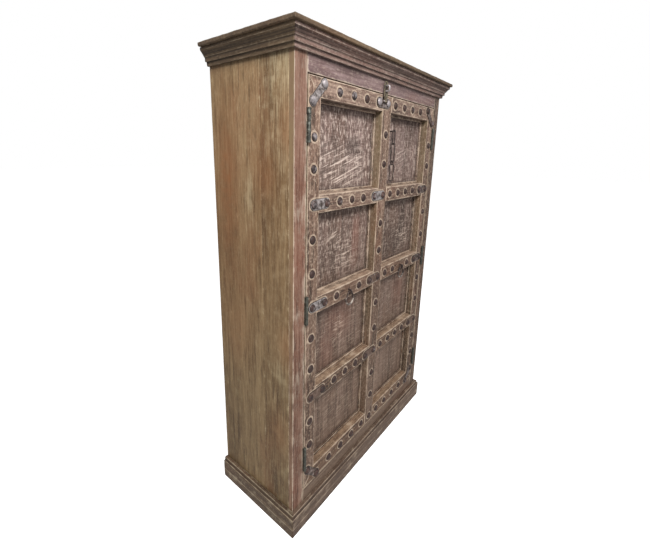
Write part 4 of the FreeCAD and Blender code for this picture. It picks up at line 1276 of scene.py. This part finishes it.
low, high = box("hasp")
haspX = (low[0] + high[0])/2
haspY = high[1] - haspShape["knuckle"]
haspZ = low[2] + haspShape["knuckle"]
bar = plainIron(slottedBar(haspX, haspY, haspZ, high[2] - haspZ), 0.35)
path = np.array([(haspX + share*haspShape["neck"]/2, haspY, haspZ) for share in np.linspace(-1, 1, 7)])
knuckle = plainIron(forgedBar(path, haspShape["knuckle"], False, (0, 1, 0), 71), 0.3)
piece("hasp", [bar, knuckle], "haspIron")
low, high = haspPlateBox
points, faces, fields = forgedPlate(strapShape, 13)
points = points + np.array([(low[0] + high[0])/2, high[1], haspZ - haspShape["plateDrop"]])
parts = [(points, faces, dict(ironFields(points, 0, 0.1), **fields))]
for sign in (-1, 1):
    start = haspX + sign*(haspShape["neck"]/2 + haspShape["earGap"])
    shares = np.linspace(0, 1, 6)
    path = np.array([(start + sign*share*haspShape["earLength"], haspY, haspZ) for share in shares])
    swell = np.array([0.9, 1, 1, 1, 0.96, 0.8])
    ear = forgedBar(path, haspShape["ear"], False, (0, sign, 0), 72, swell=swell)
    parts.append(plainIron(ear, 0.35, 0.2))
piece("hasp_plate", parts, "plateIron")
print("hasp made")

# Floor, light and white surroundings
pureWhite = (1, 1, 1, 1)
surroundLook = {"fill": 0.36, "floorGlow": 0.8, "floorSize": 30, "floorGrey": (0.8, 0.8, 0.8, 1)}
lampLook = {"place": (-1.7, -1.8, 3.15), "target": (0, 0, 1.0), "size": 1.0, "power": 150}


def whiteSurround():
    world = bpy.data.worlds.new("surround")
    bpy.context.scene.world = world
    world.use_nodes = True
    graph = Graph(world.node_tree)
    kinds = ("Camera", "Glossy", "Transmission")
    camera, glossy, through = [graph.node("ShaderNodeLightPath", output=f"Is {kind} Ray") for kind in kinds]
    seen = graph.rise(camera + glossy + through, 0, 1)
    soft = graph.node("ShaderNodeBackground", {}, {"Color": pureWhite, "Strength": surroundLook["fill"]})
    white = graph.node("ShaderNodeBackground", {}, {"Color": pureWhite, "Strength": 1})
    both = graph.node("ShaderNodeMixShader", {}, {0: seen, 1: soft, 2: white})
    graph.node("ShaderNodeOutputWorld", {}, {"Surface": both})


def paleFloor():
    made, graph = newMaterial("paleFloor")
    diffuse = graph.node("ShaderNodeBsdfDiffuse", {}, {"Color": surroundLook["floorGrey"]})
    glow = graph.node("ShaderNodeEmission", {}, {"Color": pureWhite, "Strength": surroundLook["floorGlow"]})
    bright = graph.node("ShaderNodeAddShader", {}, {0: diffuse, 1: glow})
    ray = graph.node("ShaderNodeLightPath", output="Is Camera Ray")
    both = graph.node("ShaderNodeMixShader", {}, {0: ray, 1: diffuse, 2: bright})
    graph.node("ShaderNodeOutputMaterial", {}, {"Surface": both})
    span = surroundLook["floorSize"]
    corners = np.array([(-span, -span, 0), (span, -span, 0), (span, span, 0), (-span, span, 0)], float)
    floor = meshObject("floor", corners, [[0, 1, 2, 3]], {}, made)


def softLamp(name, look):
    data = bpy.data.lights.new(name, "AREA")
    data.shape = "DISK"
    data.size = look["size"]
    data.energy = look["power"]
    ahead = unitLong(np.array(look["target"]) - np.array(look["place"]))
    right = unitLong(np.cross(ahead, (0, 0, 1)))
    aim(linked(name, data), look["place"], right, np.cross(right, ahead), ahead)


whiteSurround()
paleFloor()
softLamp("overheadLamp", lampLook)
bpy.context.scene.view_settings.view_transform = "Standard"
print("floor and light made")
